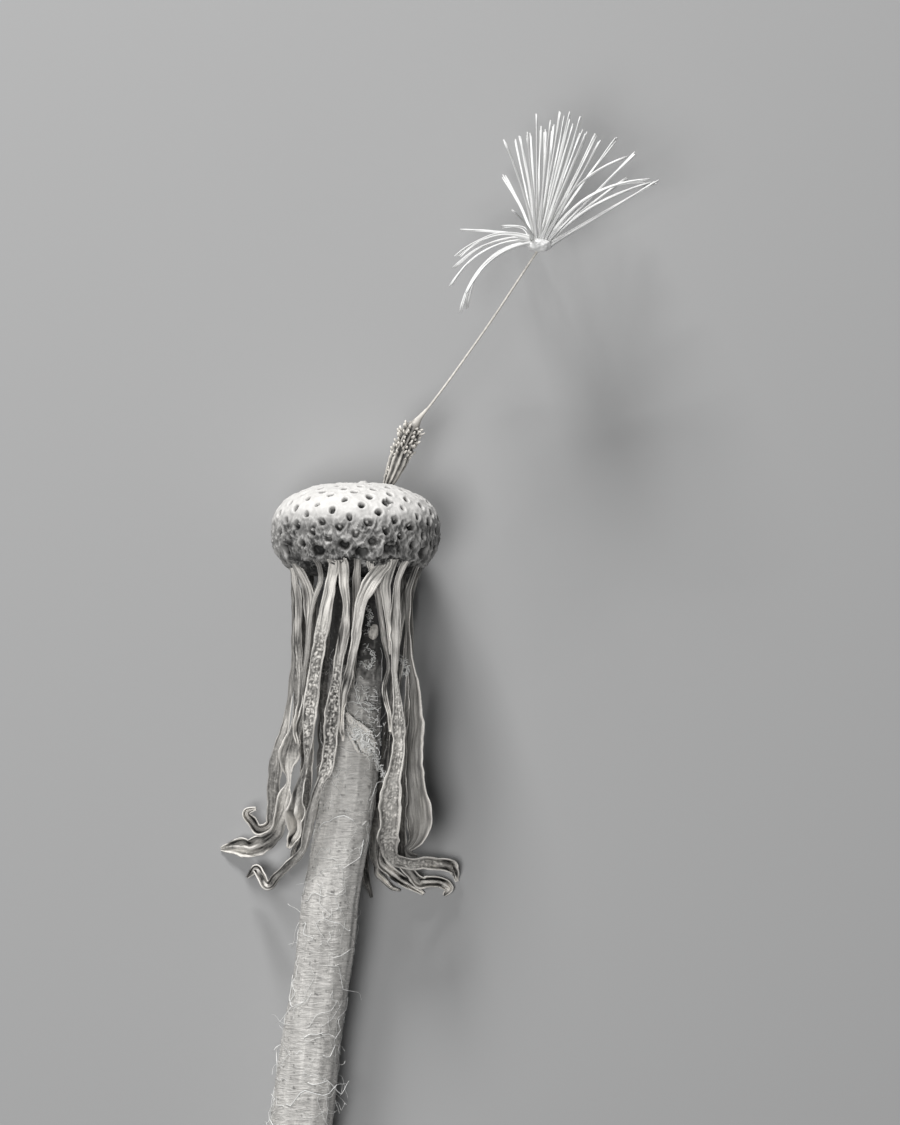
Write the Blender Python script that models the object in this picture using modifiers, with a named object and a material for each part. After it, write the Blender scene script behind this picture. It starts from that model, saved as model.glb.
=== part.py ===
"""A spent dandelion head, cut from the plant and lying on its side, with one seed still standing on it.

Frame: +Y runs from the cut end of the stem to the tip of the seed's parachute, +Z is up from the surface
that the head lies on, and the origin is the bottom centre of the whole piece. Everything is modelled in
millimetres about the middle of the receptacle (the button that carried the seeds) and scaled to metres.
"""

import math

import bmesh
import bpy
import numpy as np
from mathutils import Matrix, Vector

# ---------------------------------------------------------------- driving dimensions, in millimetres
MM = 0.001
HEAD_HEIGHT = 4.05        # middle of the receptacle above the surface: its rim rests there
HEAD_NOD = 2.0            # degrees that the top of the receptacle dips towards the surface
RECEPTACLE_RADIUS = 4.03
RECEPTACLE_SIDES = 36
BRACT_THICKNESS = 0.13
ROOT_HEIGHT = -1.92       # level at which a bract is attached, about the receptacle's widest ring
ROOT_CLIMB = 0.42         # how much higher up its flank the bracts on the upper side clasp it
ROOT_GAP = 0.26           # from the flank to the middle of the bract's wall
ROOT_TURN = 0.8           # share of the way that the clasping end turns to face straight out of the flank
ROOT_WIDTH = (0.62, 0.20)    # width of the clasping end: this share of the strap's first width, plus this
KNEE_REACH = 3.02         # the knee, just below the clasp: how far it is from the receptacle's axis
KNEE_SPREAD = 0.24        # how much further out it is on the upper side
KNEE_DROP = 0.34          # how far below the clasping end it is
KNEE_TURN = 0.4
KNEE_WIDTH = (0.85, 0.05)
BRACT_DISH = 0.12         # how deep a bract is dished across, as a share of its width
BRACT_STEPS = 5           # extra rows of faces along a bract, beyond one for each point of its route
STEM_WALL = 0.38
STEM_SIDES = 20
STEM_STEPS = 16
HUB = Vector((8.88, 13.61, 5.60))    # where the bristles meet at the top of the beak
TUFT_ROOT = 0.16          # the bristles start this far out from the middle of the hub
TUFT_STEPS = 6
TUFT_TAPER = (0.45, 0.85, 1.0, 0.95, 0.85, 0.55)    # width at each step, as a share of the strand's width

# Half of the receptacle's outline: radius and height about its widest ring, from the top down.
RECEPTACLE_OUTLINE = (
    (0.00, 2.16), (0.80, 2.13), (1.60, 2.04), (2.30, 1.87), (3.00, 1.58), (3.42, 1.28), (3.78, 0.82),
    (3.97, 0.40), (RECEPTACLE_RADIUS, 0.00), (4.01, -0.45), (3.91, -0.92), (3.72, -1.30),
    (3.42, -1.66), (2.93, -2.00), (1.90, -2.20), (0.00, -2.25),
)
FLANK = RECEPTACLE_OUTLINE[8:14]    # from the widest ring down to the underside

# The stem's middle line from under the head to the cut end: x, y, z and the outer radius there.
STEM_ROUTE = (
    (0.04, -2.62, 4.12, 1.28), (0.05, -4.20, 3.95, 1.27), (-0.07, -8.20, 3.58, 1.29),
    (-0.28, -12.00, 3.24, 1.30), (-0.56, -14.00, 3.07, 1.31), (-0.92, -16.00, 2.92, 1.34),
    (-1.26, -18.00, 2.77, 1.37), (-1.48, -20.20, 2.60, 1.38), (-1.82, -22.60, 2.43, 1.40),
    (-2.22, -25.00, 2.26, 1.43), (-2.66, -28.60, 2.02, 1.49), (-3.20, -33.00, 1.77, 1.50),
    (-3.66, -37.00, 1.52, 1.50),
)

# The seed from its foot on the receptacle to its hub: x, y, z and the radius there.
SEED_ROUTE = (
    (1.58, 2.24, 4.02, 0.26), (1.66, 2.42, 4.05, 0.31), (1.84, 2.85, 4.12, 0.38),
    (2.05, 3.35, 4.20, 0.46), (2.24, 3.80, 4.27, 0.49), (2.42, 4.20, 4.33, 0.48),
    (2.58, 4.55, 4.38, 0.46), (2.72, 4.82, 4.43, 0.38), (2.88, 5.06, 4.47, 0.23),
    (3.08, 5.34, 4.51, 0.13), (3.35, 5.66, 4.56, 0.08), (3.62, 5.98, 4.61, 0.06),
    (4.57, 7.25, 4.75, 0.055), (6.30, 9.68, 5.05, 0.055), (7.50, 11.47, 5.31, 0.055),
    (8.62, 13.17, 5.54, 0.06), (8.72, 13.33, 5.565, 0.10), (8.80, 13.47, 5.58, 0.13),
    (8.88, 13.61, 5.60, 0.13), (8.93, 13.69, 5.61, 0.08),
)

# Each bract: the angle round the receptacle at which it is attached (0 is +X, 90 is up, away from the
# surface), and the route that it hangs along after that: x, y, z, its width, and the way its outer face
# looks, in degrees about the stem (0 is up, 90 is towards +X, -90 towards -X).
BRACTS = {
    "bract_01": (168, (
        (-2.86, -3.40, 4.85, 0.62, -38), (-2.80, -5.80, 4.75, 0.58, -36), (-2.76, -7.90, 4.45, 0.56, -34),
        (-2.84, -9.40, 4.05, 0.62, -24), (-3.20, -10.70, 3.75, 1.10, -10), (-3.28, -11.50, 3.50, 0.70, -30),
        (-3.24, -12.15, 3.30, 0.34, -46), (-3.42, -12.90, 3.05, 0.76, -12), (-3.66, -14.00, 2.55, 0.76, 4),
        (-4.02, -14.80, 1.85, 0.92, 8), (-4.70, -15.28, 1.15, 0.98, 4), (-5.50, -15.42, 0.62, 0.86, 0),
        (-6.10, -15.46, 0.30, 0.50, 0), (-6.62, -15.48, 0.13, 0.14, 0))),
    "bract_02": (190, (
        (-2.98, -3.40, 3.35, 0.52, -62), (-2.98, -5.90, 3.20, 0.50, -60), (-3.12, -7.60, 2.98, 0.50, -58),
        (-3.40, -9.40, 2.70, 0.62, -50), (-3.78, -10.70, 2.38, 0.74, -34), (-3.98, -12.20, 2.02, 0.84, -24),
        (-4.02, -13.40, 1.62, 0.66, -16), (-4.22, -14.30, 1.22, 0.46, -6), (-4.70, -14.55, 0.98, 0.44, 0),
        (-5.12, -14.10, 0.98, 0.40, 0), (-5.20, -13.68, 1.16, 0.34, 0), (-4.78, -13.52, 1.42, 0.12, 0))),
    "bract_03": (150, (
        (-2.36, -2.70, 6.05, 0.60, -24), (-2.22, -3.40, 5.90, 0.62, -26), (-2.20, -4.60, 5.62, 0.42, -30),
        (-2.30, -6.00, 5.32, 0.26, -30), (-2.42, -7.20, 5.05, 0.12, -30))),
    "bract_04": (122, (
        (-1.66, -2.50, 6.92, 0.32, -40), (-1.96, -3.40, 6.70, 0.30, -46), (-2.16, -4.40, 6.42, 0.28, -46),
        (-2.28, -5.60, 6.10, 0.28, -40), (-2.48, -7.20, 5.72, 0.26, -40), (-2.76, -9.00, 5.30, 0.24, -36),
        (-2.80, -10.40, 4.98, 0.12, -30))),
    "bract_05": (108, (
        (-1.22, -2.90, 7.12, 0.64, -14), (-1.43, -3.98, 6.94, 0.80, -16), (-1.68, -5.33, 6.62, 0.70, -14),
        (-1.96, -7.10, 6.20, 0.68, -18), (-2.18, -8.90, 5.84, 0.84, -18), (-2.26, -10.10, 5.56, 0.56, -24),
        (-2.38, -11.30, 5.20, 0.30, -34), (-2.66, -12.50, 4.78, 0.70, -30), (-2.86, -13.70, 4.34, 0.84, -22),
        (-2.96, -14.60, 3.96, 0.62, -14), (-3.18, -15.35, 3.60, 0.12, -6))),
    "bract_06": (100, (
        (-0.52, -2.70, 7.30, 0.54, -6), (-0.42, -3.74, 7.10, 0.34, -4), (-0.54, -4.95, 6.82, 0.56, -8),
        (-0.80, -6.38, 6.46, 0.50, -10), (-0.92, -7.40, 6.20, 0.54, -10), (-1.09, -8.70, 5.90, 0.76, -8),
        (-1.30, -11.10, 5.42, 0.68, -14), (-1.74, -12.30, 5.20, 0.46, -22), (-2.12, -13.50, 4.98, 0.52, -24),
        (-2.32, -14.50, 4.66, 0.52, -20), (-2.54, -15.40, 4.18, 0.38, -10), (-3.30, -16.20, 3.32, 0.40, 0),
        (-3.90, -16.80, 2.56, 0.42, 0), (-4.26, -17.18, 2.06, 0.40, 0), (-4.62, -16.66, 1.66, 0.38, 0),
        (-4.86, -16.46, 1.42, 0.34, 0), (-5.34, -16.86, 0.96, 0.10, 0))),
    "bract_07": (88, (
        (0.06, -2.60, 6.80, 0.42, 2), (0.06, -3.60, 6.40, 0.42, 2), (0.00, -5.00, 6.02, 0.36, 0),
        (-0.08, -6.40, 5.70, 0.22, 0), (-0.14, -7.60, 5.42, 0.10, 0))),
    "bract_08": (66, (
        (0.70, -2.65, 7.36, 0.86, 6), (0.26, -3.66, 7.10, 0.58, 2), (0.02, -5.20, 6.78, 0.46, 0),
        (-0.18, -6.30, 6.52, 0.44, -4), (-0.38, -7.25, 6.24, 0.44, -4), (-0.52, -8.20, 5.96, 0.32, -4),
        (-0.58, -9.30, 5.66, 0.18, -4), (-0.62, -10.20, 5.44, 0.07, -4))),
    "bract_09": (77, (
        (1.02, -2.80, 6.42, 0.32, 10), (1.22, -4.30, 6.06, 0.30, 16), (1.42, -5.60, 5.72, 0.24, 20),
        (1.58, -6.60, 5.44, 0.20, 20), (1.42, -7.60, 5.16, 0.20, 10), (1.56, -8.60, 4.98, 0.18, 10),
        (1.62, -9.70, 4.82, 0.07, 10))),
    "bract_10": (58, (
        (1.46, -2.65, 6.86, 0.52, 12), (1.48, -3.50, 6.62, 0.42, 14), (1.58, -4.60, 6.34, 0.28, 14),
        (1.68, -6.00, 5.98, 0.12, 14))),
    "bract_11": (46, (
        (1.98, -2.60, 6.34, 0.36, 24), (1.93, -3.60, 6.34, 0.50, 22), (1.90, -5.20, 6.52, 0.62, 16),
        (1.87, -6.30, 6.30, 0.34, 18), (1.88, -7.10, 6.10, 0.28, 20), (1.98, -8.00, 5.86, 0.40, 16),
        (2.07, -9.20, 5.56, 0.68, 10), (2.07, -10.30, 5.30, 0.66, 10), (1.95, -11.20, 5.08, 0.70, 8),
        (1.76, -12.20, 4.86, 0.92, 4), (1.65, -13.20, 4.62, 1.16, 2), (1.62, -14.20, 4.30, 1.14, 2),
        (1.56, -15.10, 3.80, 1.00, 0), (1.74, -15.82, 3.05, 0.70, 0), (2.52, -16.14, 2.20, 0.60, 0),
        (3.50, -16.12, 1.40, 0.60, 0), (4.34, -16.20, 0.76, 0.52, 0), (4.72, -16.56, 0.38, 0.34, 0),
        (4.86, -17.10, 0.13, 0.12, 0))),
    "bract_12": (26, (
        (2.52, -2.90, 5.36, 0.38, 40), (2.50, -3.70, 5.30, 0.40, 40), (2.46, -4.66, 5.16, 0.26, 46),
        (2.48, -5.60, 5.02, 0.42, 42), (2.62, -6.80, 4.82, 0.50, 38), (2.76, -7.80, 4.60, 0.68, 32),
        (2.80, -9.20, 4.36, 0.98, 24), (2.74, -10.70, 4.12, 0.90, 20), (2.80, -12.10, 3.90, 1.02, 16),
        (2.98, -13.40, 3.68, 1.34, 10), (3.02, -14.15, 3.54, 1.36, 6), (2.96, -14.75, 3.42, 1.00, 4),
        (2.74, -15.16, 3.34, 0.56, 4), (2.50, -15.40, 3.30, 0.32, 0), (2.66, -15.66, 3.16, 0.24, 0),
        (2.94, -15.72, 3.00, 0.10, 0))),
    "bract_13": (6, (
        (2.66, -3.40, 4.10, 0.50, 70), (2.58, -6.00, 3.85, 0.50, 64), (2.44, -9.00, 3.35, 0.52, 54),
        (2.26, -12.00, 2.74, 0.54, 42), (2.12, -14.40, 2.10, 0.54, 28), (2.24, -16.00, 1.48, 0.54, 14),
        (2.66, -16.68, 1.04, 0.50, 0), (3.20, -17.08, 0.64, 0.48, 0), (3.90, -17.12, 0.36, 0.46, 0),
        (4.46, -17.30, 0.16, 0.36, 0), (4.30, -17.74, 0.12, 0.12, 0))),
    "bract_14": (344, (
        (2.60, -3.40, 3.00, 0.52, 104), (2.30, -6.00, 2.85, 0.50, 100), (1.88, -9.00, 2.50, 0.52, 92),
        (1.62, -12.00, 1.96, 0.54, 74), (1.36, -14.60, 1.42, 0.50, 40), (1.20, -16.00, 1.06, 0.48, 14),
        (1.84, -16.72, 0.70, 0.46, 0), (2.46, -17.12, 0.40, 0.42, 0), (3.16, -17.64, 0.12, 0.12, 0))),
    "bract_15": (318, (
        (2.14, -3.40, 1.85, 0.56, 136), (1.84, -6.50, 1.64, 0.54, 134), (1.46, -10.00, 1.28, 0.52, 136),
        (1.06, -13.00, 0.92, 0.50, 150), (0.86, -15.60, 0.62, 0.42, 168), (1.30, -17.00, 0.34, 0.34, 180),
        (2.14, -17.52, 0.12, 0.08, 180))),
    "bract_16": (288, (
        (0.90, -3.40, 1.08, 0.62, 164), (0.72, -7.00, 0.90, 0.60, 168), (0.42, -11.00, 0.68, 0.58, 172),
        (0.22, -14.50, 0.42, 0.52, 176), (0.38, -16.80, 0.22, 0.36, 180), (0.72, -17.80, 0.11, 0.08, 180))),
    "bract_17": (252, (
        (-1.18, -3.40, 1.16, 0.86, 200), (-1.40, -7.00, 0.94, 0.92, 198), (-1.52, -11.00, 0.64, 0.86, 192),
        (-1.62, -14.20, 0.32, 0.60, 184), (-1.66, -16.20, 0.11, 0.08, 180))),
    "bract_18": (220, (
        (-2.32, -3.40, 2.12, 0.80, 222), (-2.34, -6.50, 1.88, 0.90, 214), (-2.38, -10.00, 1.46, 0.84, 208),
        (-2.52, -13.00, 0.96, 0.60, 200), (-2.80, -15.00, 0.50, 0.40, 190),
        (-3.26, -16.30, 0.12, 0.08, 180))),
}

# Each tuft of bristles: its direction in the lying plane in degrees from +X, how far it reaches there,
# how far its tip rises above the hub, how far its middle bows to the left of its chord, and its width.
TUFTS = (
    (28.3, 6.35, 0.90, -0.05, 0.14), (29.2, 6.15, -1.30, 0.42, 0.15), (30.6, 6.05, 1.80, 0.80, 0.13),
    (38.4, 5.35, -3.50, 0.10, 0.12), (43.6, 6.25, 1.60, 0.00, 0.14), (45.8, 5.90, -0.40, 0.72, 0.12),
    (54.9, 6.35, -1.50, 0.06, 0.11), (60.2, 5.60, 2.90, -0.04, 0.08), (63.6, 6.00, -2.50, -0.04, 0.11),
    (67.9, 5.60, 3.40, 0.00, 0.13), (70.4, 6.00, -3.00, 0.04, 0.09), (73.0, 6.45, 0.70, -0.04, 0.10),
    (75.0, 6.10, -1.10, 0.05, 0.10), (77.6, 6.35, 2.20, 0.02, 0.12), (79.9, 6.36, -2.20, 0.00, 0.09),
    (81.9, 6.38, 0.90, 0.04, 0.09), (84.0, 5.90, -3.30, -0.03, 0.09), (85.9, 5.80, 3.40, 0.05, 0.09),
    (88.0, 5.50, -0.50, -0.05, 0.14), (89.9, 5.75, -1.90, 0.05, 0.09), (92.2, 6.20, 1.50, 0.02, 0.10),
    (95.1, 5.50, -3.40, 0.04, 0.10), (97.9, 5.20, 3.60, 0.02, 0.10), (101.0, 5.32, -0.70, -0.04, 0.13),
    (103.2, 5.25, -2.60, 0.05, 0.10), (110.3, 5.20, 1.90, -0.10, 0.12), (117.5, 3.90, -3.60, -0.06, 0.11),
    (133.6, 2.05, 3.40, -0.08, 0.13), (168.6, 3.94, -1.60, -0.16, 0.12), (189.0, 4.15, 2.20, -0.66, 0.12),
    (194.0, 4.35, -1.60, -0.60, 0.11), (205.0, 4.85, 0.90, -0.80, 0.10), (219.5, 4.72, -2.20, -1.02, 0.14),
    (219.5, 5.10, -0.30, -0.96, 0.11), (214.0, 4.40, 3.00, -0.62, 0.10), (152.0, 2.10, -3.60, -0.34, 0.09),
)

COLORS = {
    "stem": ((0.56, 0.56, 0.50), 0.60),
    "receptacle": ((0.70, 0.70, 0.67), 0.70),
    "bract": ((0.42, 0.41, 0.37), 0.65),
    "seed": ((0.34, 0.33, 0.29), 0.60),
    "pappus": ((0.78, 0.78, 0.76), 0.50),
}


# ---------------------------------------------------------------- helpers
def empty_the_scene():
    for obj in list(bpy.data.objects):
        bpy.data.objects.remove(obj, do_unlink=True)


def material(name):
    color, roughness = COLORS[name]
    found = bpy.data.materials.get(name)
    if found is None:
        found = bpy.data.materials.new(name)
        found.use_nodes = True
        shader = found.node_tree.nodes["Principled BSDF"]
        shader.inputs["Base Color"].default_value = (*color, 1.0)
        shader.inputs["Roughness"].default_value = roughness
        shader.inputs["Metallic"].default_value = 0.0
    return found


def placed(name, data, finish, collection, parent):
    """One named piece with its own finish, hung from the parent empty."""
    piece = bpy.data.objects.new(name, data)
    data.materials.append(material(finish))
    collection.objects.link(piece)
    piece.parent = parent
    return piece


def through(points, steps):
    """A smooth curve through all the points (Catmull-Rom), sampled evenly along its parameter."""
    points = np.asarray(points, dtype=float)
    padded = np.vstack([2 * points[0] - points[1], points, 2 * points[-1] - points[-2]])
    chords = np.linalg.norm(np.diff(points[:, :3], axis=0), axis=1)
    lengths = np.concatenate([[0.0], np.cumsum(chords)])
    along = np.linspace(0.0, lengths[-1], steps + 1)
    span = np.clip(np.searchsorted(lengths, along, side="right") - 1, 0, len(points) - 2)
    t = ((along - lengths[span]) / chords[span])[:, None]
    a, b, c, d = (padded[span + shift] for shift in range(4))
    return 0.5 * (2 * b + (c - a) * t + (2 * a - 5 * b + 4 * c - d) * t**2 + (3 * b - a - 3 * c + d) * t**3)


def directions(path):
    """Unit tangents of a sampled path."""
    slopes = np.gradient(path, axis=0)
    return slopes / np.linalg.norm(slopes, axis=1)[:, None]


def on_head(angle, radius, height):
    """A point given about the receptacle's own axis, in the lying frame."""
    nod = math.radians(HEAD_NOD)
    turn = math.radians(angle)
    across = radius * math.cos(turn)
    front = radius * math.sin(turn)
    along = height * math.cos(nod) + front * math.sin(nod)
    rise = front * math.cos(nod) - height * math.sin(nod)
    return across, along, HEAD_HEIGHT + rise


def mesh_from(bm, name):
    bmesh.ops.recalc_face_normals(bm, faces=bm.faces)
    mesh = bpy.data.meshes.new(name)
    bm.to_mesh(mesh)
    bm.free()
    mesh.shade_smooth()
    mesh.set_sharp_from_angle(angle=math.radians(50))
    return mesh


def thicken(piece, thickness, offset):
    wall = piece.modifiers.new("wall", "SOLIDIFY")
    wall.thickness = thickness * MM
    wall.offset = offset
    wall.use_even_offset = False


# ---------------------------------------------------------------- receptacle
def make_receptacle(collection, parent):
    """The button that carried the seeds: a flattened bun, turned from its outline."""
    profile = bpy.data.meshes.new("receptacle")
    points = [(radius * MM, 0.0, height * MM) for radius, height in RECEPTACLE_OUTLINE]
    profile.from_pydata(points, [(i, i + 1) for i in range(len(points) - 1)], [])
    piece = placed("receptacle", profile, "receptacle", collection, parent)
    turned = piece.modifiers.new("turned", "SCREW")
    turned.angle = math.tau
    turned.steps = RECEPTACLE_SIDES
    turned.render_steps = RECEPTACLE_SIDES
    turned.use_merge_vertices = True
    turned.merge_threshold = 1e-6
    turned.use_smooth_shade = True
    piece.location = (0.0, 0.0, HEAD_HEIGHT * MM)
    piece.rotation_euler = (-math.radians(90 + HEAD_NOD), 0.0, 0.0)


# ---------------------------------------------------------------- stem
def make_stem(collection, parent):
    """The hollow stem, a grid rolled into an open tube round its middle line, then given its wall."""
    route = through(STEM_ROUTE, STEM_STEPS)
    middle, radius = route[:, :3], route[:, 3]
    tangent = directions(middle)
    right = np.cross(tangent, (0.0, 0.0, 1.0))
    right /= np.linalg.norm(right, axis=1)[:, None]
    up = np.cross(right, tangent)
    bm = bmesh.new()
    bmesh.ops.create_grid(bm, x_segments=STEM_SIDES, y_segments=STEM_STEPS, size=0.5)
    for vertex in bm.verts:
        turn = math.tau * (vertex.co.x + 0.5)
        row = round((vertex.co.y + 0.5) * STEM_STEPS)
        spoke = math.cos(turn) * right[row] + math.sin(turn) * up[row]
        vertex.co = Vector((middle[row] + radius[row] * spoke) * MM)
    bmesh.ops.remove_doubles(bm, verts=bm.verts, dist=1e-6)
    piece = placed("stem", mesh_from(bm, "stem"), "stem", collection, parent)
    thicken(piece, STEM_WALL, -1.0)


# ---------------------------------------------------------------- bracts
def bract_route(attached, hang):
    """The bract clasps the flank of the receptacle, higher up on the upper side, then hangs along its route.
    Where it clasps it faces straight out of the flank, and it turns to its own facing on the way down."""
    clasp = max(0.0, math.sin(math.radians(attached)))
    height = ROOT_HEIGHT + ROOT_CLIMB * clasp
    flank = np.interp(-height, [-level for _, level in FLANK], [radius for radius, _ in FLANK])
    width, facing = hang[0][3:]
    turned = (90 - attached - facing + 180) % 360 - 180
    root = on_head(attached, flank + ROOT_GAP, height)
    knee = on_head(attached, KNEE_REACH + KNEE_SPREAD * clasp, height - KNEE_DROP)
    root = (*root, ROOT_WIDTH[0] * width + ROOT_WIDTH[1], facing + ROOT_TURN * turned)
    knee = (*knee, KNEE_WIDTH[0] * width + KNEE_WIDTH[1], facing + KNEE_TURN * turned)
    return (root, knee, *hang)


def make_bract(name, attached, hang, collection, parent):
    """A dry strap: a grid bent along the bract's route, dished across, with a thin wall."""
    route = through(bract_route(attached, hang), BRACT_STEPS + len(hang))
    middle, width = route[:, :3], route[:, 3]
    look = np.radians(route[:, 4])
    outward = np.stack([np.sin(look), np.zeros_like(look), np.cos(look)], axis=1)
    across = np.cross(directions(middle), outward)
    across /= np.linalg.norm(across, axis=1)[:, None]
    outward = np.cross(across, directions(middle))
    rows = len(route) - 1
    bm = bmesh.new()
    bmesh.ops.create_grid(bm, x_segments=2, y_segments=rows, size=0.5)
    for vertex in bm.verts:
        row = round((vertex.co.y + 0.5) * rows)
        side = 2 * vertex.co.x
        dish = BRACT_DISH * width[row] * (side**2 - 0.5)
        point = middle[row] + 0.5 * side * width[row] * across[row] - dish * outward[row]
        vertex.co = Vector(point * MM)
    piece = placed(name, mesh_from(bm, name), "bract", collection, parent)
    thicken(piece, BRACT_THICKNESS, 0.0)


# ---------------------------------------------------------------- seed and its parachute
def tapered_wire(name, points, radii, finish, sides_level, collection, parent):
    """A round wire through the points, with a radius of its own at each."""
    curve = bpy.data.curves.new(name, "CURVE")
    curve.dimensions = "3D"
    curve.bevel_depth = MM
    curve.bevel_resolution = sides_level
    curve.use_fill_caps = True
    spline = curve.splines.new("POLY")
    spline.points.add(len(points) - 1)
    for target, point, radius in zip(spline.points, points, radii):
        target.co = (*(np.asarray(point) * MM), 1.0)
        target.radius = radius
    return placed(name, curve, finish, collection, parent)


def make_seed(collection, parent):
    """The seed itself, the long beak on it and the small disc at the top, which grow as one piece."""
    route = np.asarray(SEED_ROUTE)
    tapered_wire("seed", route[:, :3], route[:, 3], "seed", 2, collection, parent)


def make_tuft(number, tuft, collection, parent):
    """A strand of bristles stuck together: an arc from the hub to its tip, thinner at both ends."""
    heading, reach, rise, bow, width = tuft
    turn = math.radians(heading)
    tip = Vector((reach * math.cos(turn), reach * math.sin(turn), rise))
    aside = Vector((-math.sin(turn), math.cos(turn), 0.0))
    control = 0.5 * tip + 2 * bow * aside
    t = np.linspace(0.0, 1.0, TUFT_STEPS)[:, None]
    arc = 2 * t * (1 - t) * np.asarray(control) + t**2 * np.asarray(tip)
    start = np.asarray(control.normalized()) * TUFT_ROOT
    arc = np.asarray(HUB) + arc + (1 - t) ** 2 * start
    name = f"pappus_tuft_{number:02d}"
    tapered_wire(name, arc, 0.5 * width * np.array(TUFT_TAPER), "pappus", 1, collection, parent)


# ---------------------------------------------------------------- standing the whole piece on its surface
def rest_on_surface(collection, parent):
    """Moves the parent so that the bottom centre of everything is the origin."""
    bpy.context.view_layer.update()
    graph = bpy.context.evaluated_depsgraph_get()
    low = np.full(3, np.inf)
    high = np.full(3, -np.inf)
    for piece in collection.objects:
        if piece.type == "EMPTY":
            continue
        solid = piece.evaluated_get(graph)
        mesh = solid.to_mesh()
        points = np.array([solid.matrix_world @ vertex.co for vertex in mesh.vertices])
        low = np.minimum(low, points.min(axis=0))
        high = np.maximum(high, points.max(axis=0))
        solid.to_mesh_clear()
    middle = 0.5 * (low + high)
    parent.matrix_world = Matrix.Translation((-middle[0], -middle[1], -low[2]))


def main():
    empty_the_scene()
    collection = bpy.data.collections.new("dandelion_seed_head")
    bpy.context.scene.collection.children.link(collection)
    parent = bpy.data.objects.new("lying_frame", None)
    collection.objects.link(parent)
    make_receptacle(collection, parent)
    make_stem(collection, parent)
    for name, (attached, hang) in BRACTS.items():
        make_bract(name, attached, hang, collection, parent)
    make_seed(collection, parent)
    for number, tuft in enumerate(TUFTS, start=1):
        make_tuft(number, tuft, collection, parent)
    rest_on_surface(collection, parent)


main()
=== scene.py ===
# %% [markdown]
# # A spent dandelion head, lying down, with one seed left
#
# The frame comes first. Each cell below makes the real surface of one of them round its plain solid.

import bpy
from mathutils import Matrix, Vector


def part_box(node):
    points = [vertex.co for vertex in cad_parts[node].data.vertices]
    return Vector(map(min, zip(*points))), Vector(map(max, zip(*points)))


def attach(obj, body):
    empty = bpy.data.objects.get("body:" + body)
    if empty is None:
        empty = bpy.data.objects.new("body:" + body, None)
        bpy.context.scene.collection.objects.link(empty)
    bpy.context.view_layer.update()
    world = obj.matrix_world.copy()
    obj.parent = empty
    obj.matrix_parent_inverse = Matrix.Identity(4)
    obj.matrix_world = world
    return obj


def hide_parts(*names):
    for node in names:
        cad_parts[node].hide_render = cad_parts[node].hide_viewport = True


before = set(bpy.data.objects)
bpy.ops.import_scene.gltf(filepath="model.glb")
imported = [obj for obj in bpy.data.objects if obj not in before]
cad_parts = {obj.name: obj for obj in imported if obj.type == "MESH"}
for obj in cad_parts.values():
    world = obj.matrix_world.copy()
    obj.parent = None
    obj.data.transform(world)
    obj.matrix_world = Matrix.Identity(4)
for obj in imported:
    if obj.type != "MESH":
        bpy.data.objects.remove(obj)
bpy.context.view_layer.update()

# %% Tools
import math
from types import SimpleNamespace

import bpy
import numpy as np
from mathutils import Vector

MM = 0.001
random = np.random.default_rng(7)


def joined(*fields):
    """Several fields of numbers as one field of vectors."""
    return np.stack(np.broadcast_arrays(*fields), axis=-1)


print("Blender:", bpy.app.version_string)


# %% [markdown]
# ## Where everything goes
#
# A botanist would give every length from the middle of the receptacle, the widest level of the button,
# because all the other pieces grow from it. The routes below are in millimetres from there, with +Y up the
# plant and +Z away from the table. One shift then carries them into the frame: it is read off the plain
# receptacle, whose outline is repeated here.

# %% The receptacle's outline, and the shift into the frame
HEAD_HEIGHT = 4.05
HEAD_NOD = 2.0
OUTLINE = np.array([
    (0.00, 2.16), (0.80, 2.13), (1.60, 2.04), (2.30, 1.87), (3.00, 1.58), (3.42, 1.28), (3.78, 0.82),
    (3.97, 0.40), (4.03, 0.00), (4.01, -0.45), (3.91, -0.92), (3.72, -1.30),
    (3.42, -1.66), (2.93, -2.00), (1.90, -2.20), (0.00, -2.25),
])


def on_head(across, front, height):
    """A point about the receptacle's own axis, turned by the head's nod into the lying frame (mm)."""
    nod = math.radians(HEAD_NOD)
    along = height * math.cos(nod) + front * math.sin(nod)
    rise = front * math.cos(nod) - height * math.sin(nod)
    return joined(across, along, HEAD_HEIGHT + rise)


def head_shift():
    """Difference between the plain receptacle's box and the same turned outline worked out here (mm)."""
    turn = np.linspace(0.0, math.tau, 37)[:, None]
    ring = on_head(OUTLINE[:, 0] * np.cos(turn), OUTLINE[:, 0] * np.sin(turn), OUTLINE[:, 1])
    low, high = (np.array(corner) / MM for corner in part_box("receptacle"))
    return 0.5 * (low + high) - 0.5 * (ring.min(axis=(0, 1)) + ring.max(axis=(0, 1)))


SHIFT = head_shift()
print("shift into the frame, mm:", SHIFT.round(3))

# %% [markdown]
# ## Small tools
#
# Nearly every piece here is a path with a profile carried along it. So a few helpers are enough: a smooth
# curve through chosen points, a soft noise that can be asked for at any point, and a mesh made from whole
# arrays of corners.


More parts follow.
